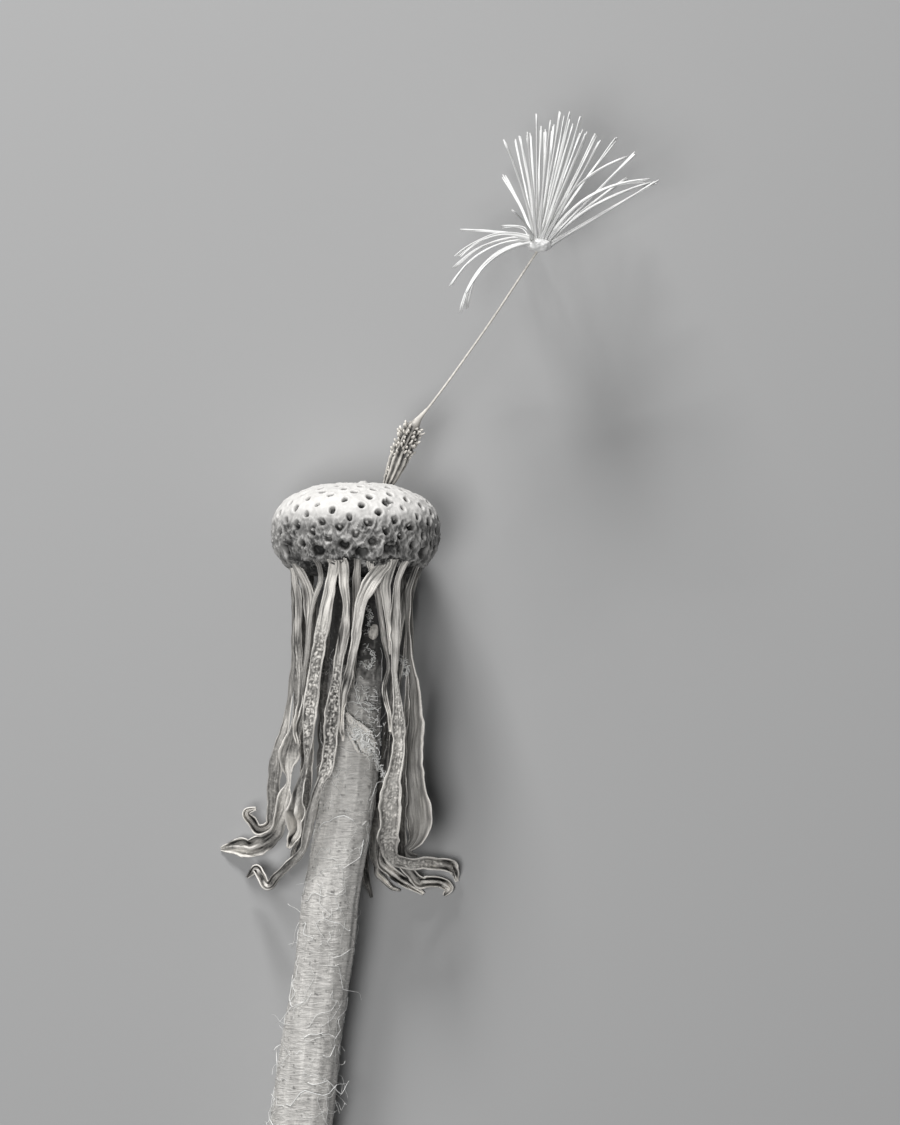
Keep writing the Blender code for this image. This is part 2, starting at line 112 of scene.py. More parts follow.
# %% A smooth curve through chosen points
def through(points, count):
    """Catmull-Rom: between two points, the cubic whose slope at each is half the chord of its neighbours.
    The samples are spread evenly along the summed chords. Extra columns (width, angle) are carried along."""
    points = np.asarray(points, dtype=float)
    padded = np.vstack([2 * points[0] - points[1], points, 2 * points[-1] - points[-2]])
    chords = np.linalg.norm(np.diff(points[:, :3], axis=0), axis=1)
    lengths = np.concatenate([[0.0], np.cumsum(chords)])
    along = np.linspace(0.0, lengths[-1], count)
    span = np.clip(np.searchsorted(lengths, along, side="right") - 1, 0, len(points) - 2)
    t = ((along - lengths[span]) / chords[span])[:, None]
    a, b, c, d = (padded[span + step] for step in range(4))
    curve = 0.5 * (2 * b + (c - a) * t + (2 * a - 5 * b + 4 * c - d) * t**2 + (3 * b - a - 3 * c + d) * t**3)
    return curve, along


def unit(vectors):
    """Each vector divided by its length."""
    return vectors / np.maximum(np.linalg.norm(vectors, axis=-1, keepdims=True), 1e-12)


print("round a corner:", through([(0, 0, 0), (1, 0, 0), (1, 1, 0)], 5)[0].round(2).tolist())


# %% Soft noise
def noise(points, size, seed):
    """Value noise in -1..1: a random number on every corner of a cubic lattice with cells of this size,
    blended inside a cell by smoothstep along each axis."""
    table = np.random.default_rng(seed).uniform(-1.0, 1.0, 4096)
    scaled = np.asarray(points, dtype=float) / size + 1000.0
    cell = np.floor(scaled).astype(np.int64)
    part = scaled - cell
    part = part * part * (3 - 2 * part)
    total = np.zeros(scaled.shape[:-1])
    for corner in np.ndindex(2, 2, 2):
        spot = cell + corner
        pick = (spot[..., 0] * 73856093 ^ spot[..., 1] * 19349663 ^ spot[..., 2] * 83492791) & 4095
        weight = np.prod(np.where(corner, part, 1 - part), axis=-1)
        total += weight * table[pick]
    return total


def smooth(low, high, value):
    """Smoothstep: 0 below low, 1 above high, an S between them."""
    t = np.clip((value - low) / (high - low), 0.0, 1.0)
    return t * t * (3 - 2 * t)


print("noise along a line:", noise(np.linspace((0, 0, 0), (1, 0, 0), 5), 0.5, 1).round(2))


# %% Meshes from whole arrays
def piece_of(name, points, faces, finish, slot, replaced=(), **attributes):
    """One piece: corners in mm about the receptacle, faces as arrays of corner numbers (one array for each
    number of sides), a finish, and any values for each corner that the finish reads."""
    mesh = bpy.data.meshes.new(name)
    corners = np.concatenate([part.ravel() for part in faces])
    sides = np.concatenate([np.full(len(part), part.shape[1]) for part in faces])
    mesh.vertices.add(len(points))
    mesh.vertices.foreach_set("co", ((points + SHIFT) * MM).ravel())
    mesh.loops.add(len(corners))
    mesh.loops.foreach_set("vertex_index", corners.astype(np.int32))
    mesh.polygons.add(len(sides))
    mesh.polygons.foreach_set("loop_start", (np.cumsum(sides) - sides).astype(np.int32))
    for label, values in attributes.items():
        kind = "FLOAT_VECTOR" if values.ndim == 2 else "FLOAT"
        layer = mesh.attributes.new(label, kind, "POINT")
        layer.data.foreach_set("vector" if values.ndim == 2 else "value", values.astype(np.float32).ravel())
    mesh.update(calc_edges=True)
    mesh.validate()
    mesh.shade_smooth()
    mesh.materials.append(finish)
    made = bpy.data.objects.new(name, mesh)
    bpy.context.scene.collection.objects.link(made)
    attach(made, "root")
    if replaced:
        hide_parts(*replaced)
    return made


# %% Grids, directions and hairs
def woven(rows, columns, wrap_rows=False, wrap_columns=False):
    """Quads of a grid of corners numbered row by row; a wrapped side joins its end to its start."""
    row = np.arange(rows if wrap_rows else rows - 1)[:, None]
    column = np.arange(columns if wrap_columns else columns - 1)[None, :]
    above, below = row * columns, (row + 1) % rows * columns
    beside = (column + 1) % columns
    return joined(above + column, above + beside, below + beside, below + column).reshape(-1, 4)


def ball_faces(rings, spokes):
    """Faces of a closed ball: rings of corners from the top down, then one corner for each pole."""
    ring = np.arange(spokes)
    following = (ring + 1) % spokes
    top, bottom, last = rings * spokes, rings * spokes + 1, (rings - 1) * spokes
    caps = np.concatenate([joined(top, ring, following), joined(bottom, last + following, last + ring)])
    return [woven(rings, spokes, wrap_columns=True)[:, ::-1], caps]


def round_about(turn, right, up):
    """The direction cos(turn) * right + sin(turn) * up."""
    return np.cos(turn)[..., None] * right + np.sin(turn)[..., None] * up


def read_between(table, row):
    """A list of numbers or vectors read at row numbers that may fall between two of its rows."""
    grid = np.arange(len(table))
    if table.ndim == 1:
        return np.interp(row, grid, table)
    return np.stack([np.interp(row, grid, column) for column in table.T], axis=-1)


def strands(paths, radii, sides):
    """Many round hairs at once: a ring of corners about each point of each path, at that point's radius,
    joined ring to ring, with a flat cap at both ends. Returns corners and faces."""
    count, steps, _ = paths.shape
    forward = unit(np.gradient(paths, axis=1))
    mean = unit(paths[:, -1] - paths[:, 0] + 1e-9)
    helper = np.where(np.abs(mean[:, 2:3]) > 0.8, (1.0, 0.0, 0.0), (0.0, 0.0, 1.0))[:, None, :]
    right = unit(np.cross(forward, helper))
    up = np.cross(right, forward)
    turn = (np.arange(sides) * math.tau / sides)[None, None]
    spokes = round_about(turn, right[:, :, None], up[:, :, None])
    corners = paths[:, :, None] + radii[:, :, None, None] * spokes
    offset = (np.arange(count) * steps * sides)[:, None]
    quads = (offset[..., None] + woven(steps, sides, wrap_columns=True)).reshape(-1, 4)
    ring = np.arange(sides)
    caps = np.concatenate([offset + ring[::-1], offset + (steps - 1) * sides + ring])
    return corners.reshape(-1, 3), [quads, caps]


print("quads and caps of a ball of 3 rings:", [len(part) for part in ball_faces(3, 6)])


# %% [markdown]
# ## Camera, table and light
#
# The head is cut and laid on a table, so the camera hangs above it and looks straight down, with the plant
# upright in the picture. A long lens from far off keeps the near and far bracts at one scale.

# %% Camera
VIEW_TALL = 54.0
LENS = 300.0
SENSOR = 36.0
VIEW_CENTRE = np.array((4.52, -1.61, HEAD_HEIGHT))
camera_data = bpy.data.cameras.new("camera")
camera_data.lens = LENS
camera_data.sensor_width = SENSOR
camera_data.clip_start = 0.01
camera = bpy.data.objects.new("camera", camera_data)
distance = VIEW_TALL * LENS / SENSOR
camera.location = Vector((VIEW_CENTRE + SHIFT + (0.0, 0.0, distance)) * MM)
bpy.context.scene.collection.objects.link(camera)
bpy.context.scene.camera = camera
print("camera height above the head, mm:", distance)

# %% Table and light
TABLE_SIDE = 1.2


def plain(name, color, roughness):
    """A Principled finish with one colour."""
    made = bpy.data.materials.new(name)
    made.use_nodes = True
    shader = made.node_tree.nodes["Principled BSDF"]
    shader.inputs["Base Color"].default_value = (*color, 1.0)
    shader.inputs["Roughness"].default_value = roughness
    return made


def make_table():
    half = TABLE_SIDE / 2
    mesh = bpy.data.meshes.new("table")
    corners = [(-half, -half, 0), (half, -half, 0), (half, half, 0), (-half, half, 0)]
    mesh.from_pydata(corners, [], [(0, 1, 2, 3)])
    mesh.materials.append(plain("table_grey", (0.385, 0.385, 0.385), 0.9))
    table = bpy.data.objects.new("table", mesh)
    bpy.context.scene.collection.objects.link(table)


def area_light(name, place, aim, size, power):
    """A square lamp at place (mm from the receptacle's middle), turned to look at aim."""
    data = bpy.data.lights.new(name, "AREA")
    data.shape = "SQUARE"
    data.size = size * MM
    data.energy = power
    lamp = bpy.data.objects.new(name, data)
    lamp.location = Vector((np.array(place) + SHIFT) * MM)
    gaze = Vector(np.array(aim, dtype=float) - np.array(place, dtype=float))
    lamp.rotation_euler = gaze.to_track_quat("-Z", "Y").to_euler()
    bpy.context.scene.collection.objects.link(lamp)


make_table()
area_light("key_from_above_the_head", (-50, 200, 95), (0, -4, 4), 50, 0.54)
area_light("fill_from_camera_side", (-50, -30, 220), (0, -4, 4), 90, 0.31)
world = bpy.data.worlds.new("room")
world.use_nodes = True
world.node_tree.nodes["Background"].inputs["Color"].default_value = (0.75, 0.78, 0.82, 1.0)
world.node_tree.nodes["Background"].inputs["Strength"].default_value = 0.06
bpy.context.scene.world = world
bpy.context.scene.view_settings.view_transform = "Standard"
print("lamps:", len(bpy.data.lights))

# %% [markdown]
# ## Finishes
#
# Everything is dry plant tissue, nearly without colour. What tells the pieces apart is grain: the stem is
# wrinkled across, the bracts are fibrous along, the receptacle is spongy. So each finish takes its tone
# from a value stored on the mesh (dark pits, pale rolled edges, and painted shade and highlight) and adds
# its own grain.


# %% How a finish is put together
def add(tree, kind, links=(), **values):
    """A shader node with plain values on some sockets and links into others."""
    node = tree.nodes.new(kind)
    for label, value in values.items():
        if hasattr(node, label):
            setattr(node, label, value)
        else:
            node.inputs[label.replace("_", " ")].default_value = value
    for label, source in links:
        tree.links.new(source, node.inputs[label])
    return node


def reckon(tree, operation, first, second):
    """One step of arithmetic on two values, each a socket or a plain number."""
    node = add(tree, "ShaderNodeMath", operation=operation)
    for place, value in enumerate((first, second)):
        if isinstance(value, float):
            node.inputs[place].default_value = value
        else:
            tree.links.new(value, node.inputs[place])
    return node.outputs[0]


def grain(tree, coordinates, stretch, scale):
    """Noise on the given coordinates (in metres or mm), stretched by a Mapping node, in -0.5 to 0.5."""
    spread = add(tree, "ShaderNodeMapping", [("Vector", coordinates)])
    spread.inputs["Scale"].default_value = stretch
    field = add(tree, "ShaderNodeTexNoise", [("Vector", spread.outputs["Vector"])],
                Scale=scale, Detail=4.0, Roughness=0.6).outputs["Fac"]
    return reckon(tree, "SUBTRACT", field, 0.5)


def shade(grey, warmth):
    """A near-neutral grey, a little warmer than the light."""
    return (grey * (1 + warmth), grey, grey * (1 - 1.6 * warmth), 1.0)


def dry_finish(name, grains, bump, roughness, dark, light, warmth):
    """Dry tissue. Its tone is the mesh's own value times (1 + the summed grains), run through a ramp from
    dark to light, and the same grains drive the bump. Each grain is (coordinates, stretch, scale, share)."""
    made = plain(name, (1, 1, 1), roughness)
    tree = made.node_tree
    shader = tree.nodes["Principled BSDF"]
    own = add(tree, "ShaderNodeAttribute", attribute_name="tone").outputs["Fac"]
    places = {"object": add(tree, "ShaderNodeTexCoord").outputs["Object"],
              "route": add(tree, "ShaderNodeAttribute", attribute_name="route").outputs["Vector"]}
    total = 0.0
    for where, stretch, scale, share in grains:
        share_of_it = reckon(tree, "MULTIPLY", grain(tree, places[where], stretch, scale), share)
        total = reckon(tree, "ADD", total, share_of_it)
    toned = reckon(tree, "MULTIPLY", own, reckon(tree, "ADD", total, 1.0))
    ramp = add(tree, "ShaderNodeValToRGB", [("Fac", toned)])
    for element, grey in zip(ramp.color_ramp.elements, (dark, light)):
        element.color = shade(grey, warmth)
    tree.links.new(ramp.outputs["Color"], shader.inputs["Base Color"])
    relief = add(tree, "ShaderNodeBump", [("Height", total)], Distance=bump * MM, Strength=1.0)
    tree.links.new(relief.outputs["Normal"], shader.inputs["Normal"])
    return made


# %% The finishes
FINE_GRAIN = 9000
receptacle_finish = dry_finish(
    "receptacle_sponge", [("object", (1, 1, 1), 1400, 0.35), ("object", (1, 0.5, 1), 5000, 0.40)],
    bump=0.05, roughness=0.62, dark=0.01, light=0.86, warmth=0.02)
stem_finish = dry_finish(
    "stem_wrinkled",
    [("object", (0.8, 5.0, 0.8), 3000, 1.20), ("object", (3.0, 0.10, 3.0), 1300, 0.45),
     ("object", (1, 1, 1), 600, 0.30), ("object", (1, 1, 1), FINE_GRAIN, 0.30)],
    bump=0.06, roughness=0.6, dark=0.02, light=0.74, warmth=0.03)
bract_finish = dry_finish(
    "bract_papery",
    [("route", (1.0, 0.07, 1.0), 16, 1.0), ("route", (1.0, 0.22, 1.0), 34, 0.5),
     ("object", (1, 1, 1), FINE_GRAIN, 0.35)],
    bump=0.05, roughness=0.55, dark=0.008, light=0.86, warmth=0.04)
seed_finish = dry_finish(
    "seed_coat", [("object", (1, 1, 1), 3000, 0.7), ("object", (1, 1, 1), FINE_GRAIN, 0.4)],
    bump=0.03, roughness=0.5, dark=0.01, light=0.80, warmth=0.05)
hair_finish = plain("cobweb_hair", (0.86, 0.86, 0.84), 0.45)
bristle_finish = plain("bristle_white", (0.80, 0.80, 0.79), 0.45)
print("finishes:", len(bpy.data.materials))

# %% [markdown]
# ## The receptacle
#
# When the seeds fly they leave a button full of shallow pits, one for each. The pits follow the spiral of
# all daisy-family heads: every next one is turned by the golden angle and placed so that each takes the
# same share of the surface. The button itself is a turned outline, so the whole surface is a grid of
# height and turn, and each corner is pushed in or out by how far it lies from the nearest pit.

# %% Pits on a golden spiral
RINGS, SPOKES = 174, 570
PIT_SHARE = 0.64
LOWEST_PIT = -1.30
NUB_ABOVE_PIT = 0.125
GOLDEN_ANGLE = math.radians(137.508)
SCATTER = 0.030


def turned_outline(count):
    """The outline as a smooth curve, its outward normal, and the surface area down to each sample:
    the running sum of circumference times step."""
    curve, along = through(np.column_stack([OUTLINE, np.zeros(len(OUTLINE))]), count)
    radius, height = np.maximum(curve[:, 0], 0.0), curve[:, 1]
    slope = unit(np.gradient(curve[:, :2], axis=0))
    normal = np.column_stack([-slope[:, 1], slope[:, 0]])
    area = np.concatenate([[0.0], np.cumsum(math.tau * 0.5 * (radius[1:] + radius[:-1]) * np.diff(along))])
    return radius, height, normal, area, along


def pit_centres():
    """Pit n is turned by n golden angles and sits where the area above it is n shares. The nub is what is
    left of the seed's foot: it stands a little higher up the same meridian."""
    radius, height, _, area, along = turned_outline(600)
    number = np.arange(1, int(area[np.argmax(height < LOWEST_PIT)] / PIT_SHARE) + 1)
    turn = number * GOLDEN_ANGLE + 0.4

    def down_the_outline(spot):
        r = np.interp(spot, along, radius)
        return joined(r * np.cos(turn), r * np.sin(turn), np.interp(spot, along, height))

    spot = np.interp(number * PIT_SHARE, area, along)
    centres = down_the_outline(spot)
    raised = NUB_ABOVE_PIT * (1 + 1.1 * smooth(-0.55, -0.9, centres[:, 2]))
    return centres + random.normal(0.0, SCATTER, centres.shape), down_the_outline(spot - raised)


pits, nubs = pit_centres()
print("pits:", len(pits))


# %% The button as a grid of height and turn
def button_grid():
    """Point = (r cos turn, r sin turn, height), and the outline's normal turned the same way. The rings lie
    closer together where the flank is steep to the eye and where the bracts sit."""
    radius, height, normal, _, _ = turned_outline(1200)
    pace = np.cumsum(np.where(radius > 1.0, 1.0, 0.5) * np.where(height < -1.95, 0.35, 1.0))
    pick = np.interp(np.linspace(pace[0], pace[-1], RINGS), pace, np.arange(len(pace)))[1:-1, None]
    r, h = read_between(radius, pick), read_between(height, pick)
    out_r, out_h = read_between(normal[:, 0], pick), read_between(normal[:, 1], pick)
    turn = np.linspace(0.0, math.tau, SPOKES, endpoint=False)[None, :]
    cos, sin = np.cos(turn), np.sin(turn)
    return turn, r, h, joined(r * cos, r * sin, h), joined(out_r * cos, out_r * sin, out_h)


turn, r, h, base, outward = button_grid()
print("rings and spokes:", base.shape[:2])


# %% How far each corner lies from its pit
PIT_RADIUS = 0.140
TEAR = np.array([(1.50, 3.16, 1.16), (1.62, 3.12, 1.12), (1.72, 3.06, 1.10), (1.42, 3.22, 1.20),
                 (1.60, 3.06, 1.22)])


def nearest_two(points, centres):
    """Distance from each point to its nearest and second nearest centre, and which the nearest is."""
    nearest = np.empty(points.shape[:2])
    second = np.empty(points.shape[:2])
    which = np.empty(points.shape[:2], dtype=int)
    for row in range(len(points)):
        gaps = np.linalg.norm(points[row][:, None, :] - centres[None], axis=2)
        which[row] = gaps.argmin(axis=1)
        pair = np.partition(gaps, 1, axis=1)
        nearest[row], second[row] = pair[:, 0], pair[:, 1]
    return nearest, second, which


warped = base + 0.05 * np.stack([noise(base, 0.22, seed) for seed in (15, 16, 17)], axis=-1)
near, second, which = nearest_two(warped, pits)
# Each of these is 0 to 1: down on the flank, at a wide cup of the lowest rows, where the bracts sit.
flank = smooth(1.0, -0.2, h) + 0 * turn
cup = smooth(-0.75, -1.05, pits[which][..., 2])
seat = smooth(-1.30, -1.60, h) + 0 * turn
# In pit radii: how deep inside a pit the corner is, and how near its swollen rim.
share = near / ((PIT_RADIUS + 0.026 * flank + 0.030 * noise(pits[which], 0.5, 3)) * (1 + 0.70 * cup))
hole = smooth(1.28, 0.72, share) * (1 - seat)
rim = np.exp(-((share - 1.7) / 0.45) ** 2)
nub_gap = np.linalg.norm(warped - nubs[which], axis=2)
nub = np.exp(-(nub_gap / (0.080 + 0.05 * cup)) ** 4) * flank * hole * (1 - 0.5 * cup)
tear = smooth(0.115, 0.07, np.linalg.norm(warped[:, :, None] - TEAR, axis=3).min(axis=2))
print("corners inside a pit:", int((hole > 0.5).sum()))


# %% Crests between the pits
def ridges(shear, size, seed):
    """Thin crests that run down the flank: 1 where a drawn-out noise crosses zero, 0 a little way off. The
    shear turns the pattern with height, so the crests lie aslant."""
    swung = turn + shear * h
    field = joined(r * np.cos(swung), r * np.sin(swung), 0.30 * h)
    return np.clip(1 - np.abs(noise(field, size, seed)) / 0.24, 0.0, 1.0)


slant = np.maximum(ridges(0.10, 0.20, 61), 0.8 * ridges(-0.12, 0.27, 62))
fine = ridges(0.10, 0.085, 63)
net = np.exp(-(((second - near) / 0.10) ** 2)) * noise(base, 0.5, 64).clip(0, 1)
skirt = np.exp(-(((h + 1.44 + 0.10 * noise(base, 0.35, 66)) / 0.13) ** 2)) * smooth(0.0, 0.7, np.sin(turn))
print("share of the flank on a crest:", round(float((slant > 0.5).mean()), 2))

# %% Relief and tone of the button
PIT_DEPTH, TEAR_DEPTH, NUB_HEIGHT, CREST_HEIGHT, FLAKE_HEIGHT = 0.26, 0.16, 0.27, 0.060, 0.10
FLAKE = np.array((0.35, 0.9, 2.12))
POLE_SINK = 0.06


def button_relief():
    """How far each corner moves out, in mm: pits and the tear go in; rims, nubs, crests, the skirt over the
    bracts, three sizes of lump and one loose flake on the crown come out."""
    lift = 0.05 * (1 - flank) - PIT_DEPTH * hole * (1 - 0.25 * cup) - TEAR_DEPTH * tear
    lift += (0.030 + 0.022 * flank) * rim * (1 - seat) + NUB_HEIGHT * nub - 0.05 * flank
    lift += flank * (1 - hole) * (CREST_HEIGHT * slant + 0.020 * fine + 0.02 * net)
    lift += 0.07 * seat * ridges(0.0, 0.30, 65) + 0.13 * skirt * (1 + 0.7 * noise(base, 0.22, 67))
    lift += 0.05 * noise(base, 0.9, 11) + 0.018 * noise(base, 0.28, 12) + 0.014 * noise(base, 0.12, 13)
    flake_gap = np.linalg.norm(base - FLAKE, axis=2)
    return lift + FLAKE_HEIGHT * smooth(0.24, 0.14, flake_gap + 0.05 * noise(base, 0.1, 18))


def button_tone():
    """Pale crown; darker flank, partly its own grey net and partly painted shade from the light above; pale
    crests; near-black pits, partly dark tissue and partly painted shade, with a pale nub; a painted highlight
    at both sides; painted shade underneath.
    """
    # The flank is darker than the crown: partly its own grey net, partly painted shade from the light above.
    tone = 0.78 - 0.66 * flank + flank * (0.36 * slant**1.5 + 0.16 * fine + 0.06 * net) * (1 - hole)
    # Pits are darkened nearly to black: partly their own dark tissue, partly painted shade in the hollows.
    tone *= 1 - (0.985 - 0.10 * cup) * smooth(1.22, 0.86, share) * (1 - seat)
    tone = tone * (1 - 0.9 * tear) + 1.05 * nub + 0.16 * noise(base, 0.4, 14) * flank - 0.16 * seat
    # Painted highlight: the flank is lightened where it faces +X or -X, along the left and right edges seen
    # from the camera.
    tone += 0.20 * flank * (1 - hole) * smooth(0.84, 0.98, np.abs(np.cos(turn)))
    # Painted shade: the underside of the button is darkened.
    return tone * (1 - 0.75 * smooth(-1.75, -2.0, h))


def make_receptacle():
    shaped = base + button_relief()[..., None] * outward
    points = on_head(*np.moveaxis(shaped, -1, 0)).reshape(-1, 3)
    poles = on_head(0.0, 0.0, np.array([OUTLINE[0, 1] - POLE_SINK, OUTLINE[-1, 1] + POLE_SINK]))
    # The bottom pole takes the dark of the painted shade underneath.
    tones = np.concatenate([np.clip(button_tone(), 0.0, 1.0).ravel(), [0.9, 0.1]])
    return piece_of("receptacle_pitted", np.vstack([points, poles]), ball_faces(len(base), SPOKES),
                    receptacle_finish, "receptacle_skin", ("receptacle",), tone=tones)


receptacle = make_receptacle()
print("receptacle corners:", len(receptacle.data.vertices))

# %% [markdown]
# ## The stem
#
# A dandelion's stalk is a tube. Its skin has shrunk while drying: faint ribs run along it and fine wrinkles
# run round it. The outside, the cut lip and the inside are one closed sleeve, so the grid is wrapped both
# ways: round the stalk, and from the top down the outside, over the lip and back up the inside.

# %% The stem's route and its sleeve
STEM_ROUTE = np.array([
    (0.04, -2.62, 4.12, 1.28), (0.05, -4.20, 3.95, 1.27), (-0.07, -8.20, 3.58, 1.29),
    (-0.28, -12.00, 3.24, 1.30), (-0.56, -14.00, 3.07, 1.31), (-0.92, -16.00, 2.92, 1.34),
    (-1.26, -18.00, 2.77, 1.37), (-1.48, -20.20, 2.60, 1.38), (-1.82, -22.60, 2.43, 1.40),
    (-2.22, -25.00, 2.26, 1.43), (-2.66, -28.60, 2.02, 1.49), (-3.20, -33.00, 1.77, 1.50),
    (-3.66, -37.00, 1.52, 1.50),
])
STEM_WALL = 0.38
STEM_ROWS, STEM_SPOKES = 680, 132
LIP_ROWS, BORE_ROWS = 5, 40
RIBS = 13
SKIN_RADIUS = 1.4
RIB_HEIGHT, SWELL_HEIGHT, WRINKLE_HEIGHT = 0.014, 0.040, 0.016


def stem_frame(count):
    """Middle line, outer radius, and the two directions square to the line, at evenly spread samples."""
    route, along = through(STEM_ROUTE, count)
    middle = route[:, :3]
    right = unit(np.cross(np.gradient(middle, axis=0), (0.0, 0.0, 1.0)))
    up = unit(np.cross(right, np.gradient(middle, axis=0)))
    return middle, route[:, 3], right, up, along


def stem_relief(turn, along):
    """Ribs: cosines round the stalk whose strength drifts along it. Wrinkles: noise drawn out round the
    stalk and short along it. Both in mm, added to the radius."""
    def skin(across, down):
        around = SKIN_RADIUS * across
        return joined(around * np.cos(turn), around * np.sin(turn), down * along)

    ribs = RIB_HEIGHT * np.cos(RIBS * turn + 2.2 * noise(skin(1, 0.06), 1.0, 21))
    swells = SWELL_HEIGHT * noise(skin(1, 0.10), 0.35, 22) + 0.05 * noise(skin(1, 1), 2.4, 25)
    wrinkles = WRINKLE_HEIGHT * noise(skin(0.35, 1), 0.16, 23) + 0.014 * noise(skin(0.35, 1), 0.10, 24)
    return ribs + swells + wrinkles


def stem_tone(points, turn):
    """Pale, with darker specks and pale rib lines; duller up among the bracts, painted shade under the head,
    dark in the bore.
    """
    speck = smooth(0.62, 0.80, noise(points, 0.13, 28))
    tone = 0.78 + 0.10 * noise(points * (1, 0.25, 1), 0.5, 29) - 0.45 * speck
    beaded = 0.6 + 0.8 * noise(points, 0.5, 48)
    tone[:STEM_ROWS] += (0.16 * smooth(0.90, 1.0, np.cos(RIBS * turn + 0.9)) * beaded[:STEM_ROWS]).clip(0, 1)
    upper = smooth(-10.9, -8.6, points[..., 1])
    tone = tone * (1 - 0.36 * upper + 0.45 * upper * noise(points, 0.15, 30))
    # Painted shade: the top of the stem, under the head, is darkened.
    tone -= 0.62 * smooth(-7.6, -5.6, points[..., 1])
    tone[STEM_ROWS + LIP_ROWS:] = 0.35
    return np.clip(tone, 0.05, 1).ravel()


def make_stem():
    """Point = middle + reach * spoke. The reach is radius and relief outside, then the lip, then the bore."""
    middle, radius, right, up, along = stem_frame(STEM_ROWS)
    turn = np.linspace(0.0, math.tau, STEM_SPOKES, endpoint=False)[None, :]
    outside = radius[:, None] + stem_relief(turn, along[:, None])
    lip_share = np.linspace(0.0, 1.0, LIP_ROWS + 2)[1:-1, None]
    lip = outside[-1] - STEM_WALL * lip_share
    bore_field = joined(np.cos(turn), np.sin(turn), np.linspace(0, 30, BORE_ROWS)[:, None])
    bore = outside[-1] - STEM_WALL + 0.02 * noise(bore_field, 0.4, 26)
    rows = np.concatenate([np.arange(STEM_ROWS), np.full(LIP_ROWS, STEM_ROWS - 1),
                           np.linspace(STEM_ROWS - 1, 0, BORE_ROWS).astype(int)])
    reach = np.concatenate([outside, lip, bore])
    spokes = round_about(turn, right[rows][:, None], up[rows][:, None])
    points = middle[rows][:, None] + reach[..., None] * spokes
    ragged = 0.05 * noise(joined(np.cos(turn[0]), np.sin(turn[0]), 0.0), 0.3, 27)
    points[STEM_ROWS:STEM_ROWS + LIP_ROWS, :, 1] -= 0.06 * np.sin(math.pi * lip_share) + ragged
    shape = woven(len(rows), STEM_SPOKES, wrap_rows=True, wrap_columns=True)
    return piece_of("stem_sleeve", points.reshape(-1, 3), [shape], stem_finish, "stem_skin", ("stem",),
                    tone=stem_tone(points, turn))


stem = make_stem()
print("stem corners:", len(stem.data.vertices))

# %% [markdown]
# ## Cobweb hairs on the stem
#
# The stalk carries thin kinked hairs. Most lie on the skin, some spring off it and show at its edges. A hair
# is a walk on the unrolled skin whose heading turns steadily and snaps from side to side, so it bends like a
# dry thread, plus a lift off the skin. A particle system could lay hairs too, but these stay plain meshes.

# %% Hairs
HAIRS = 300
HAIR_STEPS = 12
SPRUNG_SHARE = 0.35
HAIRS_FROM, HAIRS_REACH = 4.6, 29.6
HAIR_THIN, HAIR_STOUT = 0.008, 0.022


def per_hair(draw, *limits):
    """One random number for each hair, as a column."""
    return draw(*limits, HAIRS)[:, None]


def make_hairs():
    """Heading = start + curl * t + a swing that snaps over; place = running sum of steps; lift = reach * t
    to the power 1.6. A few hairs are stout, most are thin."""
    middle, radius, right, up, along = stem_frame(STEM_ROWS)
    t = np.linspace(0.0, 1.0, HAIR_STEPS)[None, :]
    turn = per_hair(random.uniform, 0.0, math.tau)
    s = HAIRS_FROM + HAIRS_REACH * per_hair(random.uniform, 0.0, 1.0) ** 0.8
    step = per_hair(random.uniform, 0.5, 3.0) / (HAIR_STEPS - 1)
    heading = per_hair(random.uniform, 0, math.tau) + per_hair(random.normal, 0, 0.9) * t
    swing = per_hair(random.uniform, 0.2, 0.9)
    heading = heading + swing * np.tanh(4 * np.sin(9 * t + per_hair(random.uniform, 0, 6)))
    s = np.clip(s + np.cumsum(step * np.cos(heading), axis=1), 0.3, along[-1] - 0.2)
    turn = turn + np.cumsum(step * np.sin(heading), axis=1) / SKIN_RADIUS
    sprung = per_hair(random.uniform, 0, 1) < SPRUNG_SHARE
    sprung = sprung * per_hair(random.uniform, 0.15, 0.75)
    lift = 0.012 + 0.03 * np.sin(math.pi * t) ** 2 + sprung * t**1.6
    row = s / along[-1] * (STEM_ROWS - 1)
    reach = read_between(radius, row) + stem_relief(turn, s) + lift
    spokes = round_about(turn, read_between(right, row), read_between(up, row))
    paths = read_between(middle, row) + reach[..., None] * spokes
    paths[..., 2] = np.maximum(paths[..., 2], 0.03)
    thick = (HAIR_THIN + HAIR_STOUT * per_hair(random.uniform, 0.0, 1.0) ** 3) * (1 - 0.35 * t)
    return piece_of("stem_hairs", *strands(paths, thick, 4), hair_finish, "stem_skin")


hairs = make_hairs()
print("hairs:", HAIRS, "corners:", len(hairs.data.vertices))
